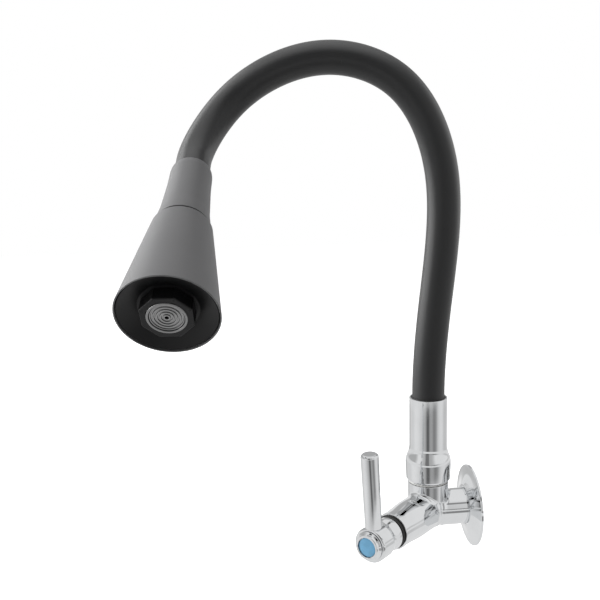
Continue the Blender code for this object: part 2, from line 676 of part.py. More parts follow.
def ball(name, radius, frame):
    """A round form to join to another; its facets differ from those of the arms that cross it."""
    mesh = bpy.data.meshes.new(name)
    shape = bmesh.new()
    bmesh.ops.create_uvsphere(shape, u_segments=ROUND - 2, v_segments=ROUND_SMALL, radius=radius)
    shape.to_mesh(mesh)
    shape.free()
    return settle(bpy.data.objects.new(name, mesh), frame, cutter=True)


def water_ways(body):
    """Threaded inlet, slanting passage to the valve's seat, neck bore, and passage from the valve to it."""
    inlet = [
        (0.0, INLET_BORE_END),
        (INLET_BORE, INLET_BORE_END),
        (INLET_BORE, THREAD_DEPTH),
        (THREAD_RADIUS, THREAD_DEPTH),
        (THREAD_RADIUS, -OVERRUN),
        (0.0, -OVERRUN),
    ]
    cut(body, turned("inlet_bore", inlet, spun(INLET_FRAME, 5.3), cutter=True))
    seat_point = NECK_FOOT + BARREL_DIRECTION * (SEAT_START + PASSAGE_REACH)
    frame, length = span_frame((0.0, -PASSAGE_START, 0.0), seat_point)
    cut(body, rod("seat_passage", PASSAGE_RADIUS, 0.0, length, frame, cutter=True))
    cut(body, rod("seat_bore", SEAT_RADIUS, SEAT_START, CAVITY_FLOOR + OVERRUN, spun(BARREL_FRAME, 6.1),
                  cutter=True))
    cut(body, rod("neck_bore", NECK_BORE, NECK_BORE_FLOOR, NECK_TOP + OVERRUN, spun(NECK_FRAME, 1.7),
                  cutter=True))
    outlet_height = NECK_BORE_FLOOR + OUTLET_RISE
    neck_side = NECK_FOOT + Vector((0.0, 0.0, outlet_height))
    cavity_side = NECK_FOOT + BARREL_DIRECTION * (CAVITY_FLOOR + OUTLET_REACH)
    cavity_side.z = outlet_height - OUTLET_DROP
    frame, length = span_frame(neck_side, cavity_side)
    cut(body, rod("outlet_passage", OUTLET_RADIUS, 0.0, length, frame, cutter=True))


def valve_chamber(body):
    chamber = [
        (0.0, BARREL_LENGTH + OVERRUN),
        (MOUTH_RADIUS, BARREL_LENGTH + OVERRUN),
        (MOUTH_RADIUS, MOUTH_FLOOR),
        (CAVITY_RADIUS, MOUTH_FLOOR),
        (CAVITY_RADIUS, CAVITY_FLOOR),
        (0.0, CAVITY_FLOOR),
    ]
    cut(body, turned("valve_chamber", chamber, spun(BARREL_FRAME, 1.9), cutter=True))


# ---------------------------------------------------------------- quarter-turn valve


def grooved_side(radius, places, half_width, depth):
    """Outline points of a turned piece's side with a groove at each place, from the top down."""
    points = []
    for place in reversed(places):
        points += [
            (radius, place + half_width),
            (radius - depth, place + half_width),
            (radius - depth, place - half_width),
            (radius, place - half_width),
        ]
    return points


def valve():
    ring("seat_washer", SEAT_WASHER_RADIUS, SEAT_RADIUS, SEAT_WASHER_START, SEAT_WASHER_END,
         BARREL_FRAME, finish=RUBBER)
    valve_bonnet()
    ceramic_disc("fixed_ceramic_disc", FIXED_DISC_START, None)
    ceramic_disc("turning_ceramic_disc", TURNING_DISC_START, LEVER_JOINT)
    valve_spindle()
    ring("barrel_mouth_ring", MOUTH_RADIUS - GAP, NOSE_RADIUS + GAP, NOSE_START + GAP,
         BARREL_LENGTH + MOUTH_RING_PROUD, BARREL_FRAME, finish=RUBBER, segments=ROUND)


def valve_bonnet():
    """Brass cartridge body: socket for the discs, flange in the barrel's mouth, nose for the spindle."""
    flange_radius = MOUTH_RADIUS - GAP
    bore = SPINDLE_RADIUS + GAP
    outline = [
        (NOSE_RADIUS, NOSE_END),
        (NOSE_RADIUS, NOSE_START),
        (flange_radius, NOSE_START),
        (flange_radius, MOUTH_FLOOR + GAP),
        (BONNET_RADIUS, MOUTH_FLOOR + GAP),
        (BONNET_RADIUS, BONNET_START),
        (SOCKET_RADIUS, BONNET_START),
        (SOCKET_RADIUS, SOCKET_END),
        (bore, SOCKET_END),
        (bore, NOSE_END),
    ]
    bonnet = turned("valve_bonnet", outline, BARREL_FRAME, finish=BRASS, segments=ROUND_SMALL, closed=True)
    middle = NECK_FOOT + BARREL_DIRECTION * WINDOW_PLACE
    reach = Vector((0.0, 0.0, CAVITY_RADIUS + OVERRUN))
    frame, length = span_frame(middle - reach, middle + reach)
    cut(bonnet, rod("bonnet_window", WINDOW_RADIUS, 0.0, length, frame, cutter=True))


def ceramic_disc(name, start, joint):
    """A ceramic disc with two round ports, one on either side of its middle."""
    end = start + DISC_THICKNESS
    disc = rod(name, DISC_RADIUS, start, end, BARREL_FRAME, joint, CERAMIC)
    for side in (-1, 1):
        port = BARREL_FRAME @ Matrix.Translation((0.0, side * PORT_OFFSET, 0.0))
        cut(disc, rod(f"{name}_port", PORT_RADIUS, start - OVERRUN, end + OVERRUN, port,
                      segments=ROUND_SCREW, cutter=True))


def valve_spindle():
    outline = [
        (0.0, SPINDLE_END),
        (SPINDLE_RADIUS - EDGE, SPINDLE_END),
        (SPINDLE_RADIUS, SPINDLE_END - EDGE),
        *grooved_side(SPINDLE_RADIUS, SPINDLE_RING_PLACES, RING_CORD + GAP, RING_GROOVE),
        (SPINDLE_RADIUS, SPINDLE_FOOT_END),
        (SPINDLE_FOOT_RADIUS, SPINDLE_FOOT_END),
        (SPINDLE_FOOT_RADIUS, SPINDLE_START),
        (0.0, SPINDLE_START),
    ]
    spindle = turned("valve_spindle", outline, BARREL_FRAME, LEVER_JOINT, BRASS, ROUND_SMALL)
    cut(spindle, rod("screw_hole", SCREW_RADIUS + GAP, SPINDLE_END - SCREW_REACH - OVERRUN,
                     SPINDLE_END + OVERRUN, BARREL_FRAME, segments=ROUND_SCREW, cutter=True))
    o_rings("spindle_o_ring", SPINDLE_RADIUS - RING_CORD + GAP / 3.0, SPINDLE_RING_PLACES, BARREL_FRAME,
            LEVER_JOINT)


# ---------------------------------------------------------------- lever handle


def handle():
    frame = pin_frame()
    hub = handle_hub()
    cut(hub, rod("pin_spot", PIN_BASE_RADIUS + GAP, SPOT_FLOOR, PIN_TOP, frame, cutter=True))
    cut(hub, rod("pin_hole", PIN_STUD_RADIUS + GAP, PIN_STUD_START - GAP, PIN_TOP, frame, cutter=True))
    lever_pin(frame)
    handle_screw()
    index_cap()


def pin_frame():
    """Frame of the lever pin: its foot on the spindle's axis, leaning outwards along the barrel."""
    lean = math.radians(PIN_LEAN)
    direction = Vector((0.0, 0.0, 1.0)) * math.cos(lean) + BARREL_DIRECTION * math.sin(lean)
    return axis_frame(NECK_FOOT + BARREL_DIRECTION * PIN_PLACE, direction)


def handle_hub():
    """Skirt over the bonnet's nose, waist, and drum with the recess for the index cap."""
    inner = NOSE_RADIUS + SKIRT_PLAY
    floor = NOSE_END + SKIRT_PLAY
    spindle_bore = SPINDLE_RADIUS + GAP
    screw_bore = SCREW_RADIUS + GAP
    head_bore = SCREW_HEAD_RADIUS + SCREW_HEAD_PLAY
    curve = 0.3 * DRUM_ROUND
    outline = [
        (RECESS_RADIUS, DRUM_END),
        (DRUM_RADIUS - DRUM_ROUND, DRUM_END),
        (DRUM_RADIUS - curve, DRUM_END - curve),
        (DRUM_RADIUS, DRUM_END - DRUM_ROUND),
        (DRUM_RADIUS, DRUM_START + DRUM_ROUND),
        (DRUM_RADIUS - curve, DRUM_START + curve),
        (WAIST_RADIUS, WAIST_PLACE),
        (SKIRT_RADIUS, HANDLE_START + SKIRT_EDGE),
        (SKIRT_RADIUS, HANDLE_START),
        (inner, HANDLE_START),
        (inner, floor),
        (spindle_bore, floor),
        (spindle_bore, SPINDLE_END + GAP),
        (screw_bore, SPINDLE_END + GAP),
        (screw_bore, SCREW_SEAT - GAP),
        (head_bore, SCREW_SEAT - GAP),
        (head_bore, RECESS_FLOOR),
        (RECESS_RADIUS, RECESS_FLOOR),
    ]
    return turned("handle_hub", outline, BARREL_FRAME, LEVER_JOINT, CHROME, closed=True)


def lever_pin(frame):
    end = PIN_TOP / math.cos(math.radians(PIN_LEAN))
    curve = 0.35 * PIN_CHAMFER
    outline = [
        (0.0, end),
        (PIN_TOP_RADIUS - PIN_CHAMFER, end),
        (PIN_TOP_RADIUS - curve, end - curve),
        (PIN_TOP_RADIUS, end - PIN_CHAMFER),
        (PIN_BASE_RADIUS, SPOT_FLOOR + GAP),
        (PIN_STUD_RADIUS, SPOT_FLOOR + GAP),
        (PIN_STUD_RADIUS, PIN_STUD_START),
        (0.0, PIN_STUD_START),
    ]
    turned("lever_pin", outline, frame, LEVER_JOINT, CHROME, ROUND_MIDDLE)


def handle_screw():
    """Slotted screw that holds the hub on the spindle."""
    top = SCREW_SEAT + SCREW_HEAD_HEIGHT
    outline = [
        (0.0, top),
        (SCREW_HEAD_RADIUS - EDGE, top),
        (SCREW_HEAD_RADIUS, top - EDGE),
        (SCREW_HEAD_RADIUS, SCREW_SEAT),
        (SCREW_RADIUS, SCREW_SEAT),
        (SCREW_RADIUS, SPINDLE_END - SCREW_REACH),
        (0.0, SPINDLE_END - SCREW_REACH),
    ]
    screw = turned("handle_screw", outline, BARREL_FRAME, LEVER_JOINT, STEEL, ROUND_SMALL)
    mesh = bpy.data.meshes.new("screw_slot")
    shape = bmesh.new()
    bmesh.ops.create_cube(shape, size=1.0)
    bmesh.ops.scale(shape, vec=(3 * SCREW_HEAD_RADIUS, SCREW_SLOT, SCREW_HEAD_HEIGHT), verts=shape.verts)
    shape.to_mesh(mesh)
    shape.free()
    place = BARREL_FRAME @ Matrix.Translation((0.0, 0.0, top))
    cut(screw, settle(bpy.data.objects.new("screw_slot", mesh), place, cutter=True))


def index_cap():
    """Chrome bezel that plugs into the drum's recess, and the blue disc set into it."""
    tube = RECESS_RADIUS - GAP
    seat = CAP_END - INDEX_DISC_SEAT
    outline = [
        (CAP_RIM_RADIUS - EDGE, CAP_END),
        (CAP_RIM_RADIUS, CAP_END - EDGE),
        (CAP_RIM_RADIUS + GAP, CAP_END - CAP_RIM_BEVEL),
        (CAP_FLARE_RADIUS, DRUM_END + GAP + CAP_FOOT),
        (CAP_FLARE_RADIUS, DRUM_END + GAP),
        (tube, DRUM_END + GAP),
        (tube, RECESS_FLOOR + GAP),
        (tube - CAP_TUBE_WALL, RECESS_FLOOR + GAP),
        (tube - CAP_TUBE_WALL, seat),
        (CAP_RIM_INNER, seat),
        (CAP_RIM_INNER, CAP_END),
    ]
    turned("index_cap", outline, BARREL_FRAME, LEVER_JOINT, CHROME, closed=True)
    rod("index_disc", CAP_RIM_INNER - GAP, seat + GAP, CAP_END - INDEX_DISC_SUNK, BARREL_FRAME, LEVER_JOINT,
        INDEX_BLUE, ROUND)


# ---------------------------------------------------------------- swivel neck


def swivel():
    ring("swivel_bearing_ring", NECK_RADIUS - EDGE, COLLAR_BORE + GAP, BEARING_START,
         BEARING_START + BEARING_THICKNESS, NECK_FRAME, finish=PLASTIC_WHITE, segments=ROUND)
    swivel_nipple()
    o_rings("swivel_o_ring", NIPPLE_RADIUS - RING_CORD + GAP / 2.0, NIPPLE_RING_PLACES, NECK_FRAME)
    retaining_clip()
    swivel_collar()


def swivel_nipple():
    """Brass tube screwed into the neck, with grooves for two rubber rings and the clip."""
    foot = NECK_BORE - GAP
    foot_end = NECK_TOP - NIPPLE_FOOT
    clip_half = CLIP_CORD + GAP
    outline = [
        (NIPPLE_RADIUS - EDGE, NIPPLE_TOP),
        (NIPPLE_RADIUS, NIPPLE_TOP - EDGE),
        *grooved_side(NIPPLE_RADIUS, NIPPLE_RING_PLACES, NIPPLE_GROOVE, NIPPLE_GROOVE_DEPTH),
        *grooved_side(NIPPLE_RADIUS, [CLIP_PLACE], clip_half, clip_half),
        (NIPPLE_RADIUS, NECK_TOP + GAP),
        (foot, NECK_TOP + GAP),
        (foot, foot_end),
        (NIPPLE_BORE, foot_end),
        (NIPPLE_BORE, NIPPLE_TOP),
    ]
    turned("swivel_nipple", outline, NECK_FRAME, finish=BRASS, segments=ROUND_SMALL, closed=True)


def retaining_clip():
    """An open wire ring that sits half in the nipple and half in the collar."""
    curve = bpy.data.curves.new("collar_clip", "CURVE")
    curve.dimensions = "3D"
    curve.bevel_depth = CLIP_CORD
    curve.bevel_resolution = 1
    curve.use_fill_caps = True
    spline = curve.splines.new("POLY")
    spline.points.add(CLIP_POINTS - 1)
    radius = (NIPPLE_RADIUS + COLLAR_BORE) / 2.0
    for i in range(CLIP_POINTS):
        turn = math.radians(CLIP_OPENING / 2.0 + (360.0 - CLIP_OPENING) * i / (CLIP_POINTS - 1))
        spline.points[i].co = (radius * math.cos(turn), radius * math.sin(turn), CLIP_PLACE, 1.0)
    settle(bpy.data.objects.new("collar_clip", curve), NECK_FRAME, finish=STEEL)


def swivel_collar():
    """Chrome collar: bulged foot over the nipple, straight upper part over the spout's root."""
    clip_half = CLIP_CORD + GAP
    clip_groove = COLLAR_BORE + CLIP_CORD
    pocket = SLEEVE_RADIUS + GAP
    seal_floor = COLLAR_TOP - SEAL_DEPTH
    outline = [
        (COLLAR_RADIUS - GAP, COLLAR_TOP),
        (COLLAR_RADIUS, COLLAR_TOP - GAP),
        (COLLAR_RADIUS, SHOULDER_TOP),
        (COLLAR_RADIUS + 0.0008, SHOULDER_TOP - 0.32 * SHOULDER_LENGTH),
        (COLLAR_BULGE_RADIUS - 0.0007, SHOULDER_FOOT + 0.24 * SHOULDER_LENGTH),
        (COLLAR_BULGE_RADIUS, SHOULDER_FOOT - 0.20 * SHOULDER_LENGTH),
        (COLLAR_FOOT_RADIUS, COLLAR_START + COLLAR_FOOT_BEVEL),
        (COLLAR_FOOT_RADIUS - COLLAR_FOOT_BEVEL, COLLAR_START),
        (COLLAR_BORE, COLLAR_START),
        (COLLAR_BORE, CLIP_PLACE - clip_half),
        (clip_groove, CLIP_PLACE - clip_half),
        (clip_groove, CLIP_PLACE + clip_half),
        (COLLAR_BORE, CLIP_PLACE + clip_half),
        (COLLAR_BORE, ROOT_FITTING_START - GAP),
        (pocket, ROOT_FITTING_START - GAP),
        (pocket, seal_floor),
        (COLLAR_MOUTH_RADIUS, seal_floor),
        (COLLAR_MOUTH_RADIUS, COLLAR_TOP),
    ]
    turned("swivel_collar", outline, NECK_FRAME, SWIVEL_JOINT, CHROME, closed=True)
    inner = SLEEVE_RADIUS + GAP / 2.0
    outline = [
        (inner + GAP, COLLAR_TOP + SEAL_PROUD),
        (COLLAR_MOUTH_RADIUS - GAP, COLLAR_TOP - GAP),
        (COLLAR_MOUTH_RADIUS - GAP, seal_floor + GAP),
        (inner, seal_floor + GAP),
        (inner, COLLAR_TOP + SEAL_PROUD),
    ]
    turned("collar_seal_ring", outline, NECK_FRAME, SWIVEL_JOINT, RUBBER, closed=True)


# ---------------------------------------------------------------- flexible spout


def hose_fitting(name, frame, start, end, cup_depth, outer, joint):
    """Brass end piece: the core is crimped in its cup and the water hose sits in its bore."""
    cup = CORE_RADIUS + GAP
    cup_floor = end - cup_depth
    hose_bore = WATER_HOSE_RADIUS + GAP
    outline = [
        (outer, end),
        (outer, start),
        (FITTING_BORE, start),
        (FITTING_BORE, cup_floor - HOSE_TUCK),
        (hose_bore, cup_floor - HOSE_TUCK),
        (hose_bore, cup_floor),
        (cup, cup_floor),
        (cup, end),
    ]
    turned(name, outline, frame, joint, BRASS, ROUND_SMALL, closed=True)


def flexible_spout():
    """The spout's three layers, the core cut at each pivot and the other two halfway between them."""
    joints = [SWIVEL_JOINT, LOW_JOINT, CROWN_JOINT, TIP_JOINT]
    core_start = -CORE_TUCK
    core_end = ROUTE_LENGTH + TIP_CORE_END
    core_cuts = [core_start, *BEND_PLACES, core_end]
    core_names = ["root", "low", "crown", "tip"]
    for i, name in enumerate(core_names):
        start = core_cuts[i] + (BEND_CLEARANCE if i > 0 else 0.0)
        end = core_cuts[i + 1] - (BEND_CLEARANCE if i < len(core_names) - 1 else 0.0)
        flexible_tube(f"gooseneck_core_{name}", CORE_RADIUS, CORE_WALL, start, end, CORE_ROUND, joints[i],
                      STEEL)
    middles = [(BEND_PLACES[i] + BEND_PLACES[i + 1]) / 2.0 for i in range(len(BEND_PLACES) - 1)]
    sleeve_cuts = [-SLEEVE_TUCK, *middles, ROUTE_LENGTH + TIP_SLEEVE_END]
    hose_cuts = [core_start - HOSE_TUCK + GAP, *middles, core_end + HOSE_TUCK - GAP]
    for i, name in enumerate(["lower", "crown", "upper"]):
        flexible_tube(f"hose_sleeve_{name}", SLEEVE_RADIUS, SLEEVE_WALL, sleeve_cuts[i] + GAP / 2.0,
                      sleeve_cuts[i + 1] - GAP / 2.0, SLEEVE_ROUND, joints[i], SLEEVE_GREY)
        flexible_tube(f"water_hose_{name}", WATER_HOSE_RADIUS, WATER_HOSE_WALL, hose_cuts[i] + GAP / 2.0,
                      hose_cuts[i + 1] - GAP / 2.0, WATER_HOSE_ROUND, joints[i], HOSE_WHITE)
    root_cup = ROOT_FITTING_END - (COLLAR_TOP - CORE_TUCK) + GAP
    hose_fitting("hose_root_fitting", NECK_FRAME, ROOT_FITTING_START, ROOT_FITTING_END, root_cup,
                 SLEEVE_RADIUS, SWIVEL_JOINT)


# ---------------------------------------------------------------- spray head


def cap_radius(along):
    slope = (CAP_SEAM_RADIUS - CAP_SHOULDER_RADIUS) / (SEAM - CAP_SHOULDER)
    return CAP_SHOULDER_RADIUS + slope * (along - CAP_SHOULDER)


def cone_radius(along):
    return SEAM_RADIUS + (FACE_RADIUS - SEAM_RADIUS) * (along - SEAM) / (FACE - SEAM)


def spray_head():
    head_cap()
    reverse = axis_frame(ROUTE_END, -HEAD_DIRECTION)
    tip_cup = TIP_CORE_END + GAP - TIP_FITTING_START
    hose_fitting("hose_tip_fitting", reverse, -TIP_FITTING_END, -TIP_FITTING_START, tip_cup,
                 TIP_FITTING_RADIUS, TIP_JOINT)
    head_stem()
    head_shell()
    spray_face()
    aerator()


def head_cap():
    """Upper shell of the head, fixed to the spout, with an end wall for the stem."""
    end = SEAM - SEAM_GAP
    pocket = SLEEVE_RADIUS + GAP
    bore = STEM_RADIUS + GAP
    rounding = 0.40 * (CAP_SHOULDER_RADIUS - CAP_MOUTH_RADIUS)
    outline = [
        (cap_radius(end) - EDGE, end),
        (cap_radius(end), end - EDGE),
        (CAP_SHOULDER_RADIUS, CAP_SHOULDER),
        (CAP_SHOULDER_RADIUS - rounding, MOUTH_START + 0.40 * CAP_ROUND),
        (CAP_MOUTH_RADIUS, MOUTH_START + EDGE),
        (CAP_MOUTH_RADIUS - EDGE, MOUTH_START),
        (pocket, MOUTH_START),
        (pocket, SLEEVE_POCKET),
        (cap_radius(WEB_START) - HEAD_WALL, WEB_START),
        (bore, WEB_START),
        (bore, end),
    ]
    turned("head_cap", outline, HEAD_FRAME, TIP_JOINT, HEAD_GREY, closed=True)


def head_stem():
    """Hollow stem between the spout's end fitting and the cone, with its rings and nut."""
    flange_end = WEB_START - GAP
    flange_radius = STEM_RADIUS + STEM_FLANGE_WIDTH
    start = TIP_FITTING_END + GAP
    outline = [
        (STEM_RADIUS, STEM_END),
        *grooved_side(STEM_RADIUS, STEM_RING_PLACES, RING_CORD + GAP, RING_GROOVE),
        (STEM_RADIUS, flange_end),
        (flange_radius, flange_end),
        (flange_radius, flange_end - STEM_FLANGE),
        (STEM_RADIUS, flange_end - STEM_FLANGE),
        (STEM_RADIUS, start),
        (STEM_BORE, start),
        (STEM_BORE, STEM_END),
    ]
    turned("head_stem", outline, HEAD_FRAME, TIP_JOINT, BRASS, ROUND_SMALL, closed=True)
    o_rings("stem_o_ring", STEM_RADIUS - RING_CORD + GAP / 3.0, STEM_RING_PLACES, HEAD_FRAME, TIP_JOINT)
    nut_start = SHELL_NECK_END + GAP
    nut_end = nut_start + STEM_NUT_LENGTH
    nut = rod("stem_nut", STEM_NUT_RADIUS, nut_start, nut_end, HEAD_FRAME, TIP_JOINT, BRASS, segments=6)
    cut(nut, rod("stem_nut_bore", STEM_RADIUS + GAP, nut_start - OVERRUN, nut_end + OVERRUN, HEAD_FRAME,
                 cutter=True))


def head_shell():
    """The cone, with an inner sleeve that turns on the stem and a ledge for the black face."""
    roof = SEAM + HEAD_WALL
    bore = STEM_RADIUS + GAP
    rim = FACE_RADIUS - RIM_WALL
    outline = [
        (FACE_RADIUS - GAP, FACE),
        (FACE_RADIUS, FACE - EDGE),
        (SEAM_RADIUS, SEAM + EDGE),
        (SEAM_RADIUS - EDGE, SEAM),
        (bore, SEAM),
        (bore, SHELL_NECK_END),
        (SHELL_NECK_RADIUS, SHELL_NECK_END),
        (SHELL_NECK_RADIUS, roof),
        (cone_radius(roof) - HEAD_WALL, roof),
        (cone_radius(LEDGE) - HEAD_WALL, LEDGE),
        (rim - RIM_SLOPE, LEDGE),
        (rim, FACE),
    ]
    turned("head_shell", outline, HEAD_FRAME, HEAD_JOINT, HEAD_GREY, closed=True)


def spray_face():
    """Water guide, black dished face and the eight-sided nut that clamps it."""
    flare_start = GUIDE_WIDENS - GUIDE_FLARE
    outline = [
        (GUIDE_RADIUS, GUIDE_END),
        (GUIDE_RADIUS, GUIDE_WIDENS),
        (GUIDE_INNER + GUIDE_WALL, flare_start),
        (GUIDE_INNER + GUIDE_WALL, GUIDE_START),
        (GUIDE_INNER, GUIDE_START),
        (GUIDE_INNER, flare_start),
        (GUIDE_RADIUS - GUIDE_WALL, GUIDE_WIDENS),
        (GUIDE_RADIUS - GUIDE_WALL, GUIDE_END),
    ]
    turned("water_guide", outline, HEAD_FRAME, HEAD_JOINT, PLASTIC_WHITE, ROUND_SMALL, closed=True)

    edge = FACE_RADIUS - RIM_WALL - RIM_SLOPE - GAP
    ledge = LEDGE + GAP
    hole = GUIDE_RADIUS + GAP
    back = DISH_FLOOR - DISH_THICKNESS
    outline = [
        (edge - EDGE, FACE - DISH_SUNK),
        (edge, FACE - DISH_SUNK - EDGE),
        (edge, ledge),
        (cone_radius(ledge) - HEAD_WALL - GAP, ledge),
        (DISH_FLOOR_RADIUS, back),
        (hole, back),
        (hole, DISH_FLOOR),
        (DISH_FLOOR_RADIUS, DISH_FLOOR),
    ]
    turned("spray_face", outline, HEAD_FRAME, HEAD_JOINT, FACE_BLACK, closed=True)
    nut = rod("aerator_nut", NUT_CORNER_RADIUS, DISH_FLOOR + GAP, NUT_END, HEAD_FRAME, HEAD_JOINT,
              FACE_BLACK, segments=NUT_SIDES)
    cut(nut, rod("aerator_nut_bore", AERATOR_RADIUS + GAP, DISH_FLOOR - OVERRUN, NUT_END + OVERRUN,
                 HEAD_FRAME, segments=ROUND, cutter=True))


def aerator():
    """Rubber seal, round housing and the insert with its raised rings."""
    inner = AERATOR_RADIUS - AERATOR_WALL
    seal_start = GUIDE_END + GAP
    ring("aerator_seal", AERATOR_RADIUS - GAP, inner - SEAL_LIP, seal_start, seal_start + SEAL_THICKNESS,
         HEAD_FRAME, HEAD_JOINT, RUBBER)
    outline = [
        (AERATOR_RADIUS - EDGE, AERATOR_END),
        (AERATOR_RADIUS, AERATOR_END - EDGE),
        (AERATOR_RADIUS, AERATOR_START),
        (inner, AERATOR_START),
        (inner, AERATOR_END - EDGE),
        (inner + EDGE, AERATOR_END),
    ]
    turned("aerator_housing", outline, HEAD_FRAME, HEAD_JOINT, CHROME, closed=True)
    outer = inner - GAP
    top = AERATOR_END - INSERT_SUNK
    floor = top - INSERT_GROOVE
    back = top - INSERT_DEPTH
    outline = [(outer, top), (outer, back), (INSERT_HOLE, back), (INSERT_HOLE, top)]
    pitch = (outer - INSERT_RIM - INSERT_HUB) / (INSERT_RING_COUNT + 0.5)
    crest = INSERT_HUB
    for i in range(INSERT_RING_COUNT + 1):
        groove_end = crest + pitch / 2.0
        outline += [(crest, top), (crest + INSERT_SLOPE, floor), (groove_end - INSERT_SLOPE, floor),
                    (groove_end, top)]
        crest += pitch
    turned("aerator_insert", outline, HEAD_FRAME, HEAD_JOINT, AERATOR_GREY, ROUND_MIDDLE, closed=True)


wall_flange()
body_casting()
valve()
handle()
swivel()
flexible_spout()
spray_head()
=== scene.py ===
"""Looks of the wall-mounted sink tap: chrome casting, turned pieces, flexible sleeve and spray head.

Every surface is worked out with numpy from a profile or from a function of two
parameters, in metres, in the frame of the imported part: +Z up, the wall is y = 0
and the tap stands out towards -Y.
"""

import json
import math

import bpy
import numpy as np
from mathutils import Matrix, Vector

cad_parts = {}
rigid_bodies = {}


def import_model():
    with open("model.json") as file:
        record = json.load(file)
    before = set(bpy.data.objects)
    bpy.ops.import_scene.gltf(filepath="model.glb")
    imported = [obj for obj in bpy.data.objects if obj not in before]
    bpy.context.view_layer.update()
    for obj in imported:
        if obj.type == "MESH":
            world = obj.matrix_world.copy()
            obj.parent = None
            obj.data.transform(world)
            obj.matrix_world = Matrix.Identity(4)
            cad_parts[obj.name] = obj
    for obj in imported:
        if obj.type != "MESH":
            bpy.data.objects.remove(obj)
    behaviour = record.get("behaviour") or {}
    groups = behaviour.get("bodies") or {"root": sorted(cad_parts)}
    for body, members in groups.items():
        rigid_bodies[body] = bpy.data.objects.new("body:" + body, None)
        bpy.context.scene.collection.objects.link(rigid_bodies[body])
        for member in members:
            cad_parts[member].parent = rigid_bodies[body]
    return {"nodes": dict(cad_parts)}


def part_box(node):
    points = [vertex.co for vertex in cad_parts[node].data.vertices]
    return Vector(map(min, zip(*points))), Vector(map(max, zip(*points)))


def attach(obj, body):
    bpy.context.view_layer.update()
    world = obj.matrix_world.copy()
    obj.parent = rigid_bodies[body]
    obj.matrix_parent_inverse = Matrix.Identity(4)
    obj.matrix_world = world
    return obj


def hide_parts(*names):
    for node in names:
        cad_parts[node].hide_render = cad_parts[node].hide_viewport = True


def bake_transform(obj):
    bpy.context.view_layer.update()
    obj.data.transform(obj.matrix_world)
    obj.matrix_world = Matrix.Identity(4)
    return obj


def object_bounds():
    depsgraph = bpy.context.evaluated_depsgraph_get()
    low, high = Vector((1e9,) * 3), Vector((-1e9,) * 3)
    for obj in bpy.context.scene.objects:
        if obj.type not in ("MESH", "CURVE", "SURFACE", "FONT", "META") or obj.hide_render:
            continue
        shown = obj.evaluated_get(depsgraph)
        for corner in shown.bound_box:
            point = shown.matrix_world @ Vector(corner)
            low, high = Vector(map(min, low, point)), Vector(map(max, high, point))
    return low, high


bl_info = {
    "name": "Sink Tap with Flexible Spout",
    "version": (1, 0, 0),
    "blender": (4, 5, 0),
    "location": "3D View > Sidebar > Sink Tap",
    "description": "Builds the finished surfaces, materials and studio of a wall-mounted sink tap",
    "category": "Object",
}

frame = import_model()
CAD_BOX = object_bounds()

FLANGE_LOW, FLANGE_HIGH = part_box("wall_flange")
CASTING_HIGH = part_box("body_casting")[1]
COLLAR_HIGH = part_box("swivel_collar")[1]

GAP = 0.0003                  # play between two pieces
SOFT_EDGE = 0.0004            # usual rounding of an edge
HAIR = 0.00001                # between two lengths of one hose layer

# centre line of the spout, from the collar's mouth to where it straightens for the head
ROUTE_OFFSETS = np.array([
    (0.0000, 0.0000, 0.0000),
    (0.0002, 0.0008, 0.0258),
    (0.0008, 0.0046, 0.0672),
    (0.0015, 0.0088, 0.1075),
    (0.0015, 0.0088, 0.1469),
    (0.0006, 0.0032, 0.1738),
    (-0.0034, -0.0192, 0.2105),
    (-0.0102, -0.0595, 0.2267),
    (-0.0168, -0.0986, 0.2193),
    (-0.0217, -0.1232, 0.2038),
    (-0.0165, -0.1408, 0.1844),
    (0.0019, -0.1528, 0.1619),
])
HEAD_DIRECTION = np.array(Vector((0.8152, -0.1300, -0.5644)).normalized())
ARCH_NORMAL = np.array((0.985622, -0.168964, 0.0))    # level, square to the arch's upright plane
BEND_PLACES = (0.080, 0.200, 0.318)
SLEEVE_CUTS = (0.140, 0.259)
BLEND_REACH = 0.031           # length before and after a pivot; the points there are found but not used


# ---------------------------------------------------------------- sizes and colours


def length(name, description, default):
    """A length that a user may change, in metres."""
    return bpy.props.FloatProperty(name=name, description=description, default=default, min=0.0,
                                   precision=5, unit="LENGTH", subtype="DISTANCE")


def share(name, description, default, most=1.0):
    """A plain number from nought to a stated most."""
    return bpy.props.FloatProperty(name=name, description=description, default=default, min=0.0, max=most,
                                   precision=3)


def colour(name, description, default):
    """A linear colour."""
    return bpy.props.FloatVectorProperty(name=name, description=description, default=default, size=3,
                                         min=0.0, max=1.0, subtype="COLOR")


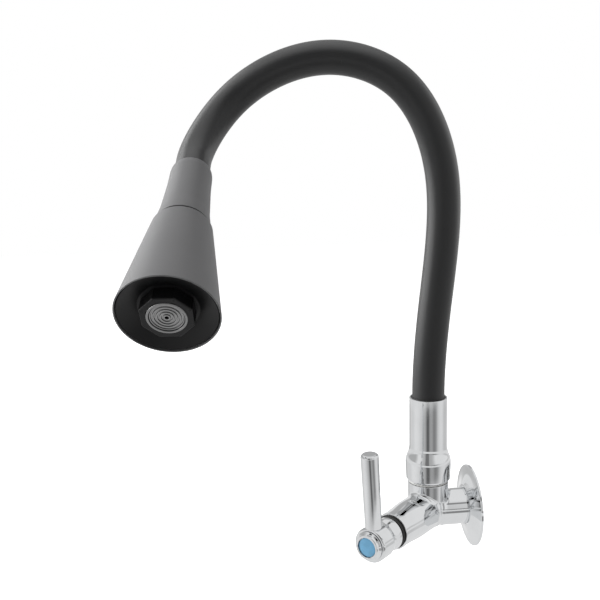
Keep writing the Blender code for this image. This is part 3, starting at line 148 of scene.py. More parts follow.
class TapBodySizes(bpy.types.PropertyGroup):
    """Sizes of the chrome body, the valve's mouth and the lever."""

    neck_out: length("Neck from wall", "Distance of the neck's axis from the wall", 0.0310)
    arm_radius: length("Arm radius", "Outer radius of the inlet arm", 0.01252)
    neck_radius: length("Neck radius", "Outer radius of the casting's neck", 0.0139)
    neck_top: length("Neck height", "Height of the neck's top over the inlet's axis", float(CASTING_HIGH.z))
    barrel_root: length("Barrel root radius", "Radius of the barrel where it leaves the body", 0.0134)
    barrel_radius: length("Barrel mouth radius", "Radius of the barrel at its mouth", 0.0123)
    barrel_length: length("Barrel length", "From the neck's axis to the barrel's mouth", 0.0485)
    belly_radius: length("Belly radius", "Radius of the round chamber between the arms", 0.0141)
    fillet: length("Casting fillet", "Reach of the soft blend between the casting's arms", 0.0026)
    flange_radius: length("Flange radius", "Outer radius of the wall flange", float(FLANGE_HIGH.x))
    flange_rise: length("Flange rise", "Height of the flange's crown over the wall", float(-FLANGE_LOW.y))
    drum_radius: length("Drum radius", "Radius of the handle's drum", 0.0115)
    drum_start: length("Drum start", "Inner end of the drum, along the barrel", 0.0630)
    drum_end: length("Drum end", "Outer end of the drum, along the barrel", 0.0742)
    pin_top: length("Lever height", "Height of the lever pin's end over the barrel's axis", 0.0609)
    pin_foot_radius: length("Lever foot radius", "Radius of the lever pin at its foot", 0.0054)
    pin_top_radius: length("Lever top radius", "Radius of the lever pin at its end", 0.0058)


class TapSpoutSizes(bpy.types.PropertyGroup):
    """Sizes of the swivel collar and the flexible spout."""

    collar_top: length("Collar top", "Height of the collar's mouth over the inlet's axis",
                       float(COLLAR_HIGH.z))
    collar_radius: length("Collar radius", "Radius of the collar's straight upper part", 0.0130)
    bulge_radius: length("Collar bulge", "Radius of the bulge at the collar's foot", 0.0158)
    sleeve_radius: length("Sleeve radius", "Outer radius of the grey sleeve", 0.0110)
    sleeve_wall: length("Sleeve wall", "Wall of the grey sleeve", 0.0027)
    conduit_radius: length("Conduit radius", "Outer radius of the wound steel core", 0.0077)
    water_radius: length("Water hose radius", "Outer radius of the inner hose", 0.0050)


class TapHeadSizes(bpy.types.PropertyGroup):
    """Sizes of the spray head, along its own axis from the end of the spout's route."""

    seam: length("Seam place", "Seam between cap and cone", 0.0650)
    cap_seam_radius: length("Cap seam radius", "Radius of the cap at the seam", 0.0151)
    seam_radius: length("Seam radius", "Radius of the cone at the seam", 0.0177)
    face: length("Face place", "Rim of the cone", 0.1356)
    face_radius: length("Face radius", "Radius of the cone's rim", 0.0285)
    cap_start: length("Cap place", "Mouth of the cap", 0.0108)
    cap_radius: length("Cap mouth radius", "Radius of the cap at its mouth", 0.0122)
    shoulder_radius: length("Cap shoulder radius", "Radius of the cap at its shoulder", 0.0131)
    nut_flats: length("Nut half width", "From the nut's axis to one of its eight flats", 0.01404)
    aerator_radius: length("Aerator radius", "Outer radius of the aerator's housing", 0.0110)


class TapFinishes(bpy.types.PropertyGroup):
    """Colours and gloss of the tap's materials, and of the studio."""

    chrome: colour("Chrome", "Plated brass of the body", (0.80, 0.81, 0.82))
    chrome_roughness: share("Chrome roughness", "Mirror polish, 0 is a perfect mirror", 0.055)
    sleeve: colour("Sleeve", "Dark grey silicone of the spout", (0.0108, 0.0111, 0.0118))
    sleeve_roughness: share("Sleeve roughness", "Satin silicone", 0.42)
    head: colour("Head", "Grey moulding of cap and cone", (0.150, 0.150, 0.153))
    head_roughness: share("Head roughness", "Satin moulding", 0.54)
    face: colour("Spray face", "Near-black plastic of the dish and nut", (0.0075, 0.0075, 0.0080))
    blue: colour("Index blue", "Blue disc in the handle's end", (0.130, 0.370, 0.590))
    rubber: colour("Rubber", "Black rubber rings", (0.012, 0.012, 0.012))
    brass: colour("Brass", "Turned brass of the hidden fittings", (0.72, 0.56, 0.28))
    steel: colour("Steel", "Steel of conduit, clip and screw", (0.60, 0.61, 0.62))
    ceramic: colour("Ceramic", "Lapped valve discs", (0.85, 0.84, 0.80))
    white: colour("White plastic", "Bearing ring and water guide", (0.80, 0.80, 0.78))
    water_hose: colour("Water hose", "Inner hose", (0.70, 0.70, 0.68))
    insert: colour("Aerator insert", "Grey rings of the aerator", (0.33, 0.33, 0.33))
    floor: colour("Floor", "Pale studio floor", (0.80, 0.80, 0.80))


# ---------------------------------------------------------------- frames of the tap's straight axes


def axis_frame(origin, direction):
    """4 x 4 array whose local +Z runs along the direction, from the origin."""
    turn = Vector(direction).to_track_quat("Z", "Y").to_matrix().to_4x4()
    return np.array(Matrix.Translation(Vector(origin)) @ turn)


def neck_foot(body):
    return np.array((0.0, -body.neck_out, 0.0))


BARREL_DIRECTION = np.array((math.sqrt(0.5), -math.sqrt(0.5), 0.0))
UP = np.array((0.0, 0.0, 1.0))
TO_WALL = np.array((0.0, 1.0, 0.0))
PIN_LEAN = math.radians(4.4)


# ---------------------------------------------------------------- surfaces


def rounded(outline, closed, turn_step=12.0):
    """Profile points and unit normals of an outline with rounded corners.

    Each entry is (radius, height, rounding).  A corner between directions a and b
    becomes an arc that starts rounding * tan(turn / 2) before the corner, and the
    normal is the direction's left normal (-height, radius), turned along the arc.
    """
    points = np.array([(entry[0], entry[1]) for entry in outline], float)
    count = len(points)
    made, normals = [], []
    for i in range(count):
        if not closed and i in (0, count - 1):
            run = points[1] - points[0] if i == 0 else points[-1] - points[-2]
            run = run / np.linalg.norm(run)
            made.append(points[i][None, :])
            normals.append(np.array([(-run[1], run[0])]))
            continue
        before = points[i] - points[i - 1]
        after = points[(i + 1) % count] - points[i]
        long_before, long_after = np.linalg.norm(before), np.linalg.norm(after)
        before, after = before / long_before, after / long_after
        turn = math.acos(max(-1.0, min(1.0, float(before @ after))))
        left = np.array((-before[1], before[0]))
        if turn < 0.01:
            made.append(points[i][None, :])
            normals.append(left[None, :])
            continue
        rounding = outline[i][2] if len(outline[i]) > 2 else SOFT_EDGE
        cut = min(rounding * math.tan(turn / 2.0), 0.49 * min(long_before, long_after))
        radius = cut / math.tan(turn / 2.0)
        side = math.copysign(1.0, before[0] * after[1] - before[1] * after[0])
        centre = points[i] - before * cut + side * radius * left
        angle = np.linspace(0.0, side * turn, max(3, math.ceil(math.degrees(turn) / turn_step) + 1))
        turned = np.stack([left[0] * np.cos(angle) - left[1] * np.sin(angle),
                           left[0] * np.sin(angle) + left[1] * np.cos(angle)], axis=1)
        made.append(centre - side * radius * turned)
        normals.append(turned)
    return np.vstack(made), np.vstack(normals)


def skin(name, grid, normals, close_rows):
    """Closed mesh over a grid of points: rows run along the shape, columns go round it.

    A row whose points all coincide is a pole, and becomes one vertex.
    """
    rows, columns = grid.shape[:2]
    index = np.arange(rows * columns).reshape(rows, columns)
    poles = np.ptp(grid, axis=1).max(axis=1) < 1e-9
    index[poles] = index[poles, :1]
    upper = index if close_rows else index[:-1]
    lower = np.roll(index, -1, axis=0) if close_rows else index[1:]
    corners = np.stack([lower, np.roll(lower, -1, axis=1), np.roll(upper, -1, axis=1), upper], axis=-1)
    return mesh_object(name, grid.reshape(-1, 3), corners.reshape(-1, 4), normals.reshape(-1, 3))


def mesh_object(name, points, corners, normals):
    """Object from points and quads; a quad with two equal corners becomes a triangle."""
    places = np.round(points, 8)
    _, first, same = np.unique(places, axis=0, return_index=True, return_inverse=True)
    corners = same.reshape(-1)[corners]
    points, normals = points[first], normals[first]
    a, b, c, d = (points[corners[:, k]] for k in range(4))
    volume = np.einsum("ij,ij->i", a, np.cross(b, c)).sum() + np.einsum("ij,ij->i", a, np.cross(c, d)).sum()
    if volume < 0.0:
        corners = corners[:, ::-1]
    following = np.roll(corners, -1, axis=1)
    repeats = corners == following
    whole = corners[~repeats.any(axis=1)]
    faces = whole.tolist()
    for k in range(4):
        chosen = corners[repeats[:, k] & (repeats.sum(axis=1) == 1)]
        faces += np.delete(chosen, k, axis=1).tolist()
    mesh = bpy.data.meshes.new(name)
    mesh.from_pydata(points.tolist(), [], faces)
    mesh.shade_smooth()
    mesh.normals_split_custom_set_from_vertices(normals.tolist())
    made = bpy.data.objects.new(name, mesh)
    bpy.context.scene.collection.objects.link(made)
    return made


def placed(grid, normals, place):
    """Grid and normals carried from local axes to the tap's frame."""
    turn = place[:3, :3]
    return grid @ turn.T + place[:3, 3], normals @ turn.T


def lathe(name, outline, place, columns=96, closed=True):
    """A turned piece: the rounded profile (r, h) at every angle t is (r cos t, r sin t, h).

    The outline may run either way; it is turned so that its left side is the outside.
    """
    corners = np.array([entry[:2] for entry in outline])
    following = np.roll(corners, -1, axis=0)
    if np.sum(corners[:, 0] * following[:, 1] - following[:, 0] * corners[:, 1]) > 0.0:
        outline = outline[::-1]
    profile, across = rounded(outline, closed)
    angle = np.linspace(0.0, 2.0 * math.pi, columns, endpoint=False)
    ring = np.stack([np.cos(angle), np.sin(angle), np.zeros(columns)], axis=1)
    grid = profile[:, None, :1] * ring[None] + profile[:, None, 1:] * UP
    normals = across[:, None, :1] * ring[None] + across[:, None, 1:] * UP
    return skin(name, *placed(grid, normals, place), close_rows=closed)


# ---------------------------------------------------------------- material building


class Finish:
    """A node material whose colour, gloss and relief vary slightly over the object's own coordinates."""

    def __init__(self, name, base, roughness, metallic=0.0):
        self.made = bpy.data.materials.new(name)
        self.made.use_nodes = True
        self.tree = self.made.node_tree
        self.shader = self.tree.nodes["Principled BSDF"]
        self.shader.inputs["Metallic"].default_value = metallic
        self.shader.inputs["Roughness"].default_value = roughness
        self.shader.inputs["Base Color"].default_value = (*base, 1.0)
        self.place = self.tree.nodes.new("ShaderNodeTexCoord").outputs["Object"]

    def noise(self, scale, detail=3.0, rough=0.55, squeeze=None):
        """Noise with so many cells to the metre, longer along an axis where squeeze says so."""
        place = self.place
        if squeeze is not None:
            mapping = self.tree.nodes.new("ShaderNodeMapping")
            mapping.inputs["Scale"].default_value = squeeze
            self.tree.links.new(place, mapping.inputs["Vector"])
            place = mapping.outputs["Vector"]
        node = self.tree.nodes.new("ShaderNodeTexNoise")
        node.inputs["Scale"].default_value = scale
        node.inputs["Detail"].default_value = detail
        node.inputs["Roughness"].default_value = rough
        self.tree.links.new(place, node.inputs["Vector"])
        return node.outputs["Fac"]

    def span(self, source, low, high, start=0.3, end=0.7):
        """The source's values from start to end, spread from low to high."""
        node = self.tree.nodes.new("ShaderNodeMapRange")
        node.inputs["From Min"].default_value = start
        node.inputs["From Max"].default_value = end
        node.inputs["To Min"].default_value = low
        node.inputs["To Max"].default_value = high
        self.tree.links.new(source, node.inputs["Value"])
        return node.outputs["Result"]

    def tint(self, source, low, high):
        """Base colour from one tint to another along the source."""
        node = self.tree.nodes.new("ShaderNodeMix")
        node.data_type = "RGBA"
        colours = [socket for socket in node.inputs if socket.type == "RGBA"]
        colours[0].default_value = (*low, 1.0)
        colours[1].default_value = (*high, 1.0)
        self.tree.links.new(source, node.inputs["Factor"])
        result = [socket for socket in node.outputs if socket.type == "RGBA"][0]
        self.tree.links.new(result, self.shader.inputs["Base Color"])

    def gloss(self, source):
        self.tree.links.new(source, self.shader.inputs["Roughness"])

    def relief(self, source, height, under=None):
        """Bump of the stated height in metres, over another bump where one is given."""
        node = self.tree.nodes.new("ShaderNodeBump")
        node.inputs["Strength"].default_value = 1.0
        node.inputs["Distance"].default_value = height
        self.tree.links.new(source, node.inputs["Height"])
        if under is not None:
            self.tree.links.new(under, node.inputs["Normal"])
        self.tree.links.new(node.outputs["Normal"], self.shader.inputs["Normal"])
        return node.outputs["Normal"]


def varied(base, change):
    """The colour made lighter or darker by a share."""
    return tuple(min(1.0, channel * (1.0 + change)) for channel in base)


def metal(name, base, roughness, spread, wave_scale, wave_height):
    """Metal with drifting polish, fine wiping marks and the faint waves of a polished casting."""
    finish = Finish(name, base, roughness, metallic=1.0)
    drift = finish.noise(55.0, 3.0)
    finish.tint(finish.span(drift, 0.0, 1.0), varied(base, -0.03), varied(base, 0.03))
    marks = finish.noise(420.0, 5.0, 0.65)
    finish.gloss(finish.span(marks, roughness * (1.0 - spread), roughness * (1.0 + spread)))
    finish.relief(finish.noise(wave_scale, 2.0), wave_height)
    return finish.made


def moulding(name, base, roughness, grain_scale, grain_height, tone=0.06, shine=0.5):
    """Moulded plastic or rubber: cloudy tone, fine grain and a gloss that follows the grain."""
    finish = Finish(name, base, roughness)
    finish.shader.inputs["Specular IOR Level"].default_value = shine
    cloud = finish.noise(38.0, 4.0)
    finish.tint(finish.span(cloud, 0.0, 1.0), varied(base, -tone), varied(base, tone))
    grain = finish.noise(grain_scale, 3.0, 0.6)
    finish.gloss(finish.span(grain, roughness - 0.05, roughness + 0.06))
    wave = finish.relief(finish.noise(70.0, 2.0), 0.00003)
    finish.relief(grain, grain_height, wave)
    return finish.made


def silicone(tones):
    """The sleeve: near-black satin silicone whose edges catch the light."""
    made = moulding("silicone_sleeve", tones.sleeve, tones.sleeve_roughness, 5200.0, 0.000012, 0.08)
    shader = made.node_tree.nodes["Principled BSDF"]
    shader.inputs["Sheen Weight"].default_value = 0.15
    shader.inputs["Sheen Roughness"].default_value = 0.35
    return made


def make_materials(tones):
    """All of the tap's materials by name."""
    steel = tuple(tones.steel)
    conduit = Finish("wound_steel", steel, 0.38, metallic=1.0)
    streaks = conduit.noise(900.0, 3.0, squeeze=(1.0, 1.0, 6.0))
    conduit.gloss(conduit.span(streaks, 0.28, 0.46))
    conduit.tint(streaks, varied(steel, -0.15), varied(steel, 0.08))
    blue = Finish("index_blue_gloss", tones.blue, 0.22)
    cloud = blue.span(blue.noise(160.0, 2.0), 0.0, 1.0)
    blue.tint(cloud, varied(tones.blue, -0.10), varied(tones.blue, 0.12))
    blue.relief(blue.noise(300.0, 2.0), 0.00001)
    blue.shader.inputs["Coat Weight"].default_value = 0.6
    blue.shader.inputs["Coat Roughness"].default_value = 0.08
    return {
        "chrome": metal("polished_chrome", tones.chrome, tones.chrome_roughness, 0.45, 90.0, 0.000012),
        "brass": metal("turned_brass", tones.brass, 0.28, 0.35, 700.0, 0.000010),
        "steel": metal("plain_steel", tones.steel, 0.34, 0.30, 600.0, 0.000010),
        "conduit": conduit.made,
        "sleeve": silicone(tones),
        "head": moulding("head_moulding", tones.head, tones.head_roughness, 6500.0, 0.000012, 0.03),
        "face": moulding("face_moulding", tones.face, 0.40, 5200.0, 0.000014, 0.15, 0.28),
        "rubber": moulding("black_rubber", tones.rubber, 0.55, 4200.0, 0.000014, 0.15),
        "ceramic": moulding("lapped_ceramic", tones.ceramic, 0.22, 7000.0, 0.000003, 0.02),
        "white": moulding("white_moulding", tones.white, 0.38, 6000.0, 0.000008, 0.02),
        "water_hose": moulding("water_hose_tube", tones.water_hose, 0.42, 5000.0, 0.000010, 0.04),
        "rim": metal("aerator_rim_satin", varied(tones.insert, -0.15), 0.36, 0.25, 700.0, 0.000006),
        "insert": metal("aerator_insert_grey", tones.insert, 0.34, 0.25, 900.0, 0.000006),
        "blue": blue.made,
    }


MATERIALS = {}
CAD_FINISHES = {
    "rubber": ["seat_washer", "spindle_o_ring_1", "spindle_o_ring_2", "swivel_o_ring_1", "swivel_o_ring_2",
               "stem_o_ring_1", "stem_o_ring_2", "aerator_seal"],
    "brass": ["valve_bonnet", "valve_spindle", "swivel_nipple", "hose_root_fitting", "hose_tip_fitting",
              "head_stem", "stem_nut"],
    "ceramic": ["fixed_ceramic_disc", "turning_ceramic_disc"],
    "steel": ["handle_screw", "collar_clip"],
    "white": ["swivel_bearing_ring", "water_guide"],
}


def finished(piece, body, finish, *nodes):
    """Give a new piece its material and slot, hang it on its body and let it stand for its CAD nodes."""
    piece.data.materials.append(MATERIALS[finish])
    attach(piece, body)
    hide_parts(*nodes)
    return piece


# ---------------------------------------------------------------- casting


def soft_union(first, second, reach):
    """Smooth least of two distances: where they differ by less than reach, the valley is filled."""
    mix = np.clip(0.5 + 0.5 * (second - first) / reach, 0.0, 1.0)
    return second * (1.0 - mix) + first * mix - reach * mix * (1.0 - mix)


def arm_distance(points, axis, start, radius):
    """Distance to a round bar along an axis that starts at a distance from the centre."""
    along = points @ axis
    side = np.linalg.norm(points - along[..., None] * axis, axis=-1) - radius(along)
    before = start - along
    outside = np.hypot(np.maximum(side, 0.0), np.maximum(before, 0.0))
    return outside + np.minimum(np.maximum(side, before), 0.0)


class Casting:
    """The tap's body round the common centre of its three arms, as one smooth closed surface.

    Its surface is where the soft union of the three round bars and the round
    chamber is nought.  Each arm has a patch of rays from the centre; the patches
    meet on the great circles halfway between two arms.
    """

    def __init__(self, body):
        self.body = body
        taper = body.barrel_root - body.barrel_radius
        taper_start, taper_length = 0.022, 0.020

        def barrel_radius(along):
            share = np.clip((along - taper_start) / taper_length, 0.0, 1.0)
            return body.barrel_root - taper * share * share * (3.0 - 2.0 * share)

        self.arms = [
            (TO_WALL, lambda along: body.arm_radius + 0.0 * along, body.neck_out),
            (UP, lambda along: body.neck_radius + 0.0 * along, body.neck_top),
            (BARREL_DIRECTION, barrel_radius, body.barrel_length),
        ]

    def distance(self, points):
        total = np.linalg.norm(points, axis=-1) - self.body.belly_radius
        for axis, radius, _ in self.arms:
            bar = arm_distance(points, axis, 0.6 * self.body.belly_radius, radius)
            total = soft_union(total, bar, self.body.fillet)
        return total

    def reach(self, rays):
        """Distance along each ray from the centre to the surface, by halving."""
        low = np.full(rays.shape[:-1], 0.004)
        high = np.full(rays.shape[:-1], 0.090)
        for _ in range(42):
            middle = 0.5 * (low + high)
            inside = self.distance(rays * middle[..., None]) < 0.0
            low, high = np.where(inside, middle, low), np.where(inside, high, middle)
        return 0.5 * (low + high)

    def normals(self, points):
        step = 2e-5
        slope = [self.distance(points + step * unit) - self.distance(points - step * unit)
                 for unit in np.eye(3)]
        slope = np.stack(slope, axis=-1)
        return slope / np.linalg.norm(slope, axis=-1, keepdims=True)

    def boundary(self, first, second, corner, samples):
        """Half great circle from one corner of the three patches to the other, between two arms."""
        middle = first + second
        middle = middle - (middle @ corner) * corner
        middle /= np.linalg.norm(middle)
        angle = np.linspace(0.0, math.pi, samples)[:, None]
        return np.cos(angle) * corner + np.sin(angle) * middle

    def patch(self, number, samples, rows):
        """Rays of one arm: from its mouth to the patch's boundary, evenly in log tan(angle / 2)."""
        axes = [arm[0] for arm in self.arms]
        corner = np.cross(axes[0] - axes[1], axes[0] - axes[2])
        corner /= np.linalg.norm(corner)
        axis, radius, end = self.arms[number]
        others = [axes[k] for k in range(3) if k != number]
        loop = np.vstack([self.boundary(axis, others[0], corner, samples),
                          self.boundary(axis, others[1], corner, samples)[-2:0:-1]])
        across = loop - (loop @ axis)[:, None] * axis
        across /= np.linalg.norm(across, axis=1, keepdims=True)
        rim = float(radius(np.array(end)))
        edge = SOFT_EDGE
        outer = math.log(math.tan(0.5 * math.atan2(rim, end - edge)))
        inner = np.log(np.tan(0.5 * np.arccos(np.clip(loop @ axis, -1.0, 1.0))))
        level = np.linspace(0.0, 1.0, rows)[:, None]
        angle = 2.0 * np.arctan(np.exp(inner[None] + (outer - inner[None]) * level))
        rays = np.cos(angle)[..., None] * axis + np.sin(angle)[..., None] * across[None]
        points = rays * self.reach(rays)[..., None]
        return points, self.normals(points), across

    def mouth(self, number):
        """Outline from an arm's rim over its end face and down its bore, as (radius, distance)."""
        body = self.body
        axis, radius, end = self.arms[number]
        rim = float(radius(np.array(end)))
        bores = [
            [(0.00932, end, 0.0003), (0.00932, end - 0.0110, 0.0002), (0.00552, end - 0.0110, 0.0002),
             (0.00552, end - 0.0165, 0.0002), (0.0, end - 0.0165)],
            [(0.0078, end, 0.0003), (0.0078, end - 0.0144, 0.0003), (0.0, end - 0.0144)],
            [(0.0112, end, 0.0002), (0.0112, end - 0.0045, 0.0002), (0.0097, end - 0.0045, 0.0002),
             (0.0097, end - 0.0290, 0.0002), (0.0, end - 0.0290)],
        ][number]
        return [(rim, end - 3.0 * SOFT_EDGE), (rim, end, SOFT_EDGE), *bores]

    def build(self, samples=84, rows=66):
        points, normals, corners = [], [], []
        start = 0
        centre = neck_foot(self.body)
        for number in range(3):
            axis = self.arms[number][0]
            grid, across_grid, across = self.patch(number, samples, rows)
            profile, side = rounded(self.mouth(number), closed=False)
            profile, side = profile[1:], -side[1:]
            ends = profile[:, None, :1] * across[None] + profile[:, None, 1:] * axis
            end_normals = side[:, None, :1] * across[None] + side[:, None, 1:] * axis
            grid = np.concatenate([grid[:-1], ends]) + centre
            across_grid = np.concatenate([across_grid[:-1], end_normals])
            index = start + np.arange(grid.shape[0] * grid.shape[1]).reshape(grid.shape[:2])
            start += index.size
            upper, lower = index[:-1], index[1:]
            quads = np.stack([lower, np.roll(lower, -1, 1), np.roll(upper, -1, 1), upper], -1)
            first = np.cross(across[0], across[1]) @ axis
            quads = quads.reshape(-1, 4)
            corners.append(quads if first > 0.0 else quads[:, ::-1])
            points.append(grid.reshape(-1, 3))
            normals.append(across_grid.reshape(-1, 3))
        return mesh_object("cast_body", np.vstack(points), np.vstack(corners), np.vstack(normals))


# ---------------------------------------------------------------- wall flange, mouth ring, lever


def flange_outline(body):
    """Dome of the flange: height falls from the crown to the rim with the square of the way left."""
    crown, rim = body.arm_radius + 0.0016, body.flange_radius
    edge, rise, wall = 0.0018, body.flange_rise, 0.0015
    lip = rim - 0.0036

    def dome(radius):
        return edge + (rise - edge) * ((rim - radius) / (rim - crown)) ** 2

    outer = np.linspace(crown, rim - 0.0004, 12)
    inner = np.linspace(lip, crown, 10)
    outline = [(body.arm_radius + GAP, rise, 0.0004)]
    outline += [(radius, dome(radius), 0.02) for radius in outer]
    outline += [(rim, edge - 0.0005, 0.0006), (rim, 0.0, 0.0003), (lip + 0.0004, 0.0, 0.0003)]
    outline += [(radius, dome(radius) - wall, 0.004) for radius in inner]
    return outline + [(body.arm_radius + GAP, rise - wall, 0.0003)]


def hub_outline(body):
    """Skirt over the bonnet's nose, waist and drum, with the recess for the index cap."""
    drum, start, end = body.drum_radius, body.drum_start, body.drum_end
    return [
        (0.0080, end, 0.0002), (drum, end, 0.0016), (drum, start, 0.0016), (0.0099, start - 0.0036, 0.0080),
        (body.barrel_radius - 0.0014, 0.0545, 0.0080), (body.barrel_radius - 0.0014, 0.0518, 0.0003),
        (0.0076, 0.0518, 0.0002), (0.0076, 0.0551, 0.0002), (0.0043, 0.0551, 0.0002),
        (0.0043, 0.0657, 0.0002), (0.0019, 0.0657, 0.0001), (0.0019, 0.0675, 0.0001),
        (0.0044, 0.0675, 0.0001), (0.0044, 0.0716, 0.0002), (0.0080, 0.0716, 0.0002),
    ]


def pin_outline(body):
    """Lever pin: slightly thinner at its foot, its end a flat with a broad rounded edge."""
    end = body.pin_top / math.cos(PIN_LEAN)
    return [
        (0.0, end), (body.pin_top_radius, end, 0.0019), (body.pin_foot_radius, 0.0110, 0.0004),
        (0.0022, 0.0110, 0.0002), (0.0022, 0.0063, 0.0002), (0.0, 0.0063),
    ]


def bezel_outline(body):
    end = body.drum_end + 0.0036
    low = body.drum_end + GAP
    return [
        (0.0082, end, 0.0007), (0.0085, end - 0.0016, 0.0010), (0.0096, low + 0.0006, 0.0005),
        (0.0096, low, 0.0002), (0.0077, low, 0.0001), (0.0077, low - 0.0024, 0.0002),
        (0.0060, low - 0.0024, 0.0002), (0.0060, end - 0.0018, 0.0001), (0.0065, end - 0.0018, 0.0001),
        (0.0065, end, 0.0004),
    ]


def index_outline(body):
    """Blue disc with a softly crowned face."""
    end = body.drum_end + 0.0036
    return [(0.0, end - 0.00035), (0.0040, end - 0.00045, 0.02), (0.0062, end - 0.0008, 0.0003),
            (0.0062, end - 0.0015, 0.0001), (0.0, end - 0.0015)]


def collar_outline(spout):
    """Straight upper part, soft shoulder, bulge over the bearing and a drawn-in foot."""
    top, radius, bulge = spout.collar_top, spout.collar_radius, spout.bulge_radius
    return [
        (0.0119, top, 0.0002), (radius, top, 0.0003), (radius, 0.0430, 0.0140), (bulge, 0.0366, 0.0120),
        (bulge - 0.0007, 0.0215, 0.0018), (0.0108, 0.0215, 0.0002), (0.0108, 0.0236, 0.0001),
        (0.0114, 0.0236, 0.0001), (0.0114, 0.0250, 0.0001), (0.0108, 0.0250, 0.0001),
        (0.0108, 0.0382, 0.0002), (0.0113, 0.0382, 0.0001), (0.0113, top - 0.0045, 0.0001),
        (0.0119, top - 0.0045, 0.0001),
    ]


def seal_outline(spout):
    top = spout.collar_top
    return [(0.01115, top + 0.0004, 0.0001), (0.0116, top - 0.0001, 0.0002), (0.0116, top - 0.0042, 0.0001),
            (0.01115, top - 0.0042, 0.0001)]


# ---------------------------------------------------------------- flexible spout


def spline_slopes(knots, points, first, last):
    """Slopes of the cubic spline through the points with given end directions."""
    steps = np.diff(knots)
    rises = np.diff(points, axis=0) / steps[:, None]
    system = np.diag(np.concatenate([[1.0], 2.0 * (steps[:-1] + steps[1:]), [1.0]]))
    system[1:-1, :-2] += np.diag(steps[1:])
    system[1:-1, 2:] += np.diag(steps[:-1])
    inner = 3.0 * (steps[1:, None] * rises[:-1] + steps[:-1, None] * rises[1:])
    return np.linalg.solve(system, np.vstack([first[None], inner, last[None]]))


class Route:
    """Centre line of the spout: a cubic spline through the offsets, straight past either end."""

    def __init__(self, start):
        points = start + ROUTE_OFFSETS
        knots = np.concatenate([[0.0], np.cumsum(np.linalg.norm(np.diff(points, axis=0), axis=1))])
        slopes = spline_slopes(knots, points, UP, HEAD_DIRECTION)
        t = np.linspace(0.0, 1.0, 80, endpoint=False)[None, :, None]
        step = np.diff(knots)[:, None, None]
        dense = ((2 * t**3 - 3 * t**2 + 1) * points[:-1, None]
                 + (t**3 - 2 * t**2 + t) * step * slopes[:-1, None]
                 + (3 * t**2 - 2 * t**3) * points[1:, None]
                 + (t**3 - t**2) * step * slopes[1:, None])
        self.points = np.vstack([dense.reshape(-1, 3), points[-1:]])
        self.run = np.concatenate([[0.0], np.cumsum(np.linalg.norm(np.diff(self.points, axis=0), axis=1))])
        self.length = float(self.run[-1])

    def at(self, run):
        """Points at distances along the route."""
        run = np.atleast_1d(run)
        inside = np.stack([np.interp(run, self.run, self.points[:, k]) for k in range(3)], axis=1)
        before = np.minimum(run, 0.0)[:, None] * UP
        past = np.maximum(run - self.length, 0.0)[:, None] * HEAD_DIRECTION
        return inside + before + past

    def frames(self, run):
        """Points, and two directions across the route: one from the arch's normal, one square to it."""
        reach = 0.0008
        points = self.at(run)
        along = self.at(run + reach) - self.at(run - reach)
        along /= np.linalg.norm(along, axis=1, keepdims=True)
        first = ARCH_NORMAL - (along @ ARCH_NORMAL)[:, None] * along
        first /= np.linalg.norm(first, axis=1, keepdims=True)
        return points, first, np.cross(along, first)


def tube(name, route, start, end, radius, wall, step, columns, relief=None):
    """A hose wall along the route: ring of the outer radius out, ring of the inner radius back.

    Relief is a function of distance and angle that is added to the outer radius.
    """
    run = np.linspace(start, end, max(8, int((end - start) / step)))
    points, first, second = route.frames(run)
    angle = np.linspace(0.0, 2.0 * math.pi, columns, endpoint=False)
    ring = first[:, None] * np.cos(angle)[None, :, None] + second[:, None] * np.sin(angle)[None, :, None]
    outer = np.full((len(run), columns), radius)
    if relief is not None:
        outer = outer + relief(run[:, None], angle[None, :])
    grid = np.concatenate([points[::-1, None] + outer[::-1, :, None] * ring[::-1],
                           points[:, None] + (radius - wall) * ring])
    normals = np.concatenate([ring[::-1], -ring])
    return skin(name, grid, normals, close_rows=True)


def winding(run, angle):
    """Outer relief of the wound steel conduit: a round wire laid in a helix of 2.6 mm pitch."""
    pitch, rise = 0.0026, 0.0005
    turn = run / pitch - angle / (2.0 * math.pi)
    return rise * np.sqrt(np.clip(1.0 - (2.0 * (turn % 1.0) - 1.0) ** 2, 0.0, 1.0)) - rise


def bend_between(piece, route, place, first, second, finish, *nodes):
    """Give a spout layer its material, hide the CAD nodes it replaces and bake its place into its mesh."""
    piece.data.materials.append(MATERIALS[finish])
    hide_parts(*nodes)
    start, end = route.at(place - BLEND_REACH)[0], route.at(place + BLEND_REACH)[0]
    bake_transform(piece)


# ---------------------------------------------------------------- spray head


def head_frame(scene):
    """Axes of the head: its origin lies where the spout's route ends."""
    route = Route(neck_foot(scene.tap_body) + UP * scene.tap_spout.collar_top)
    return axis_frame(route.at(route.length)[0], HEAD_DIRECTION)


def cap_outline(head):
    """Cap of the head: small mouth, soft shoulder, slow widening, and a flare at the seam."""
    start, end, rim = head.cap_start, head.seam - 0.0012, head.cap_seam_radius
    return [
        (0.0055, end, 0.0002), (0.0055, 0.0584, 0.0002), (rim - 0.0020, 0.0584, 0.0005),
        (0.0113, start + 0.0077, 0.0010), (0.0113, start, 0.0002), (head.cap_radius - 0.0002, start, 0.0006),
        (head.cap_radius + 0.0005, start + 0.0018, 0.0040), (head.shoulder_radius, start + 0.0046, 0.0100),
        (head.shoulder_radius + 0.0002, 0.0280, 0.2), (rim - 0.0003, 0.0520, 0.06),
        (rim + 0.0014, end, 0.0003),
    ]


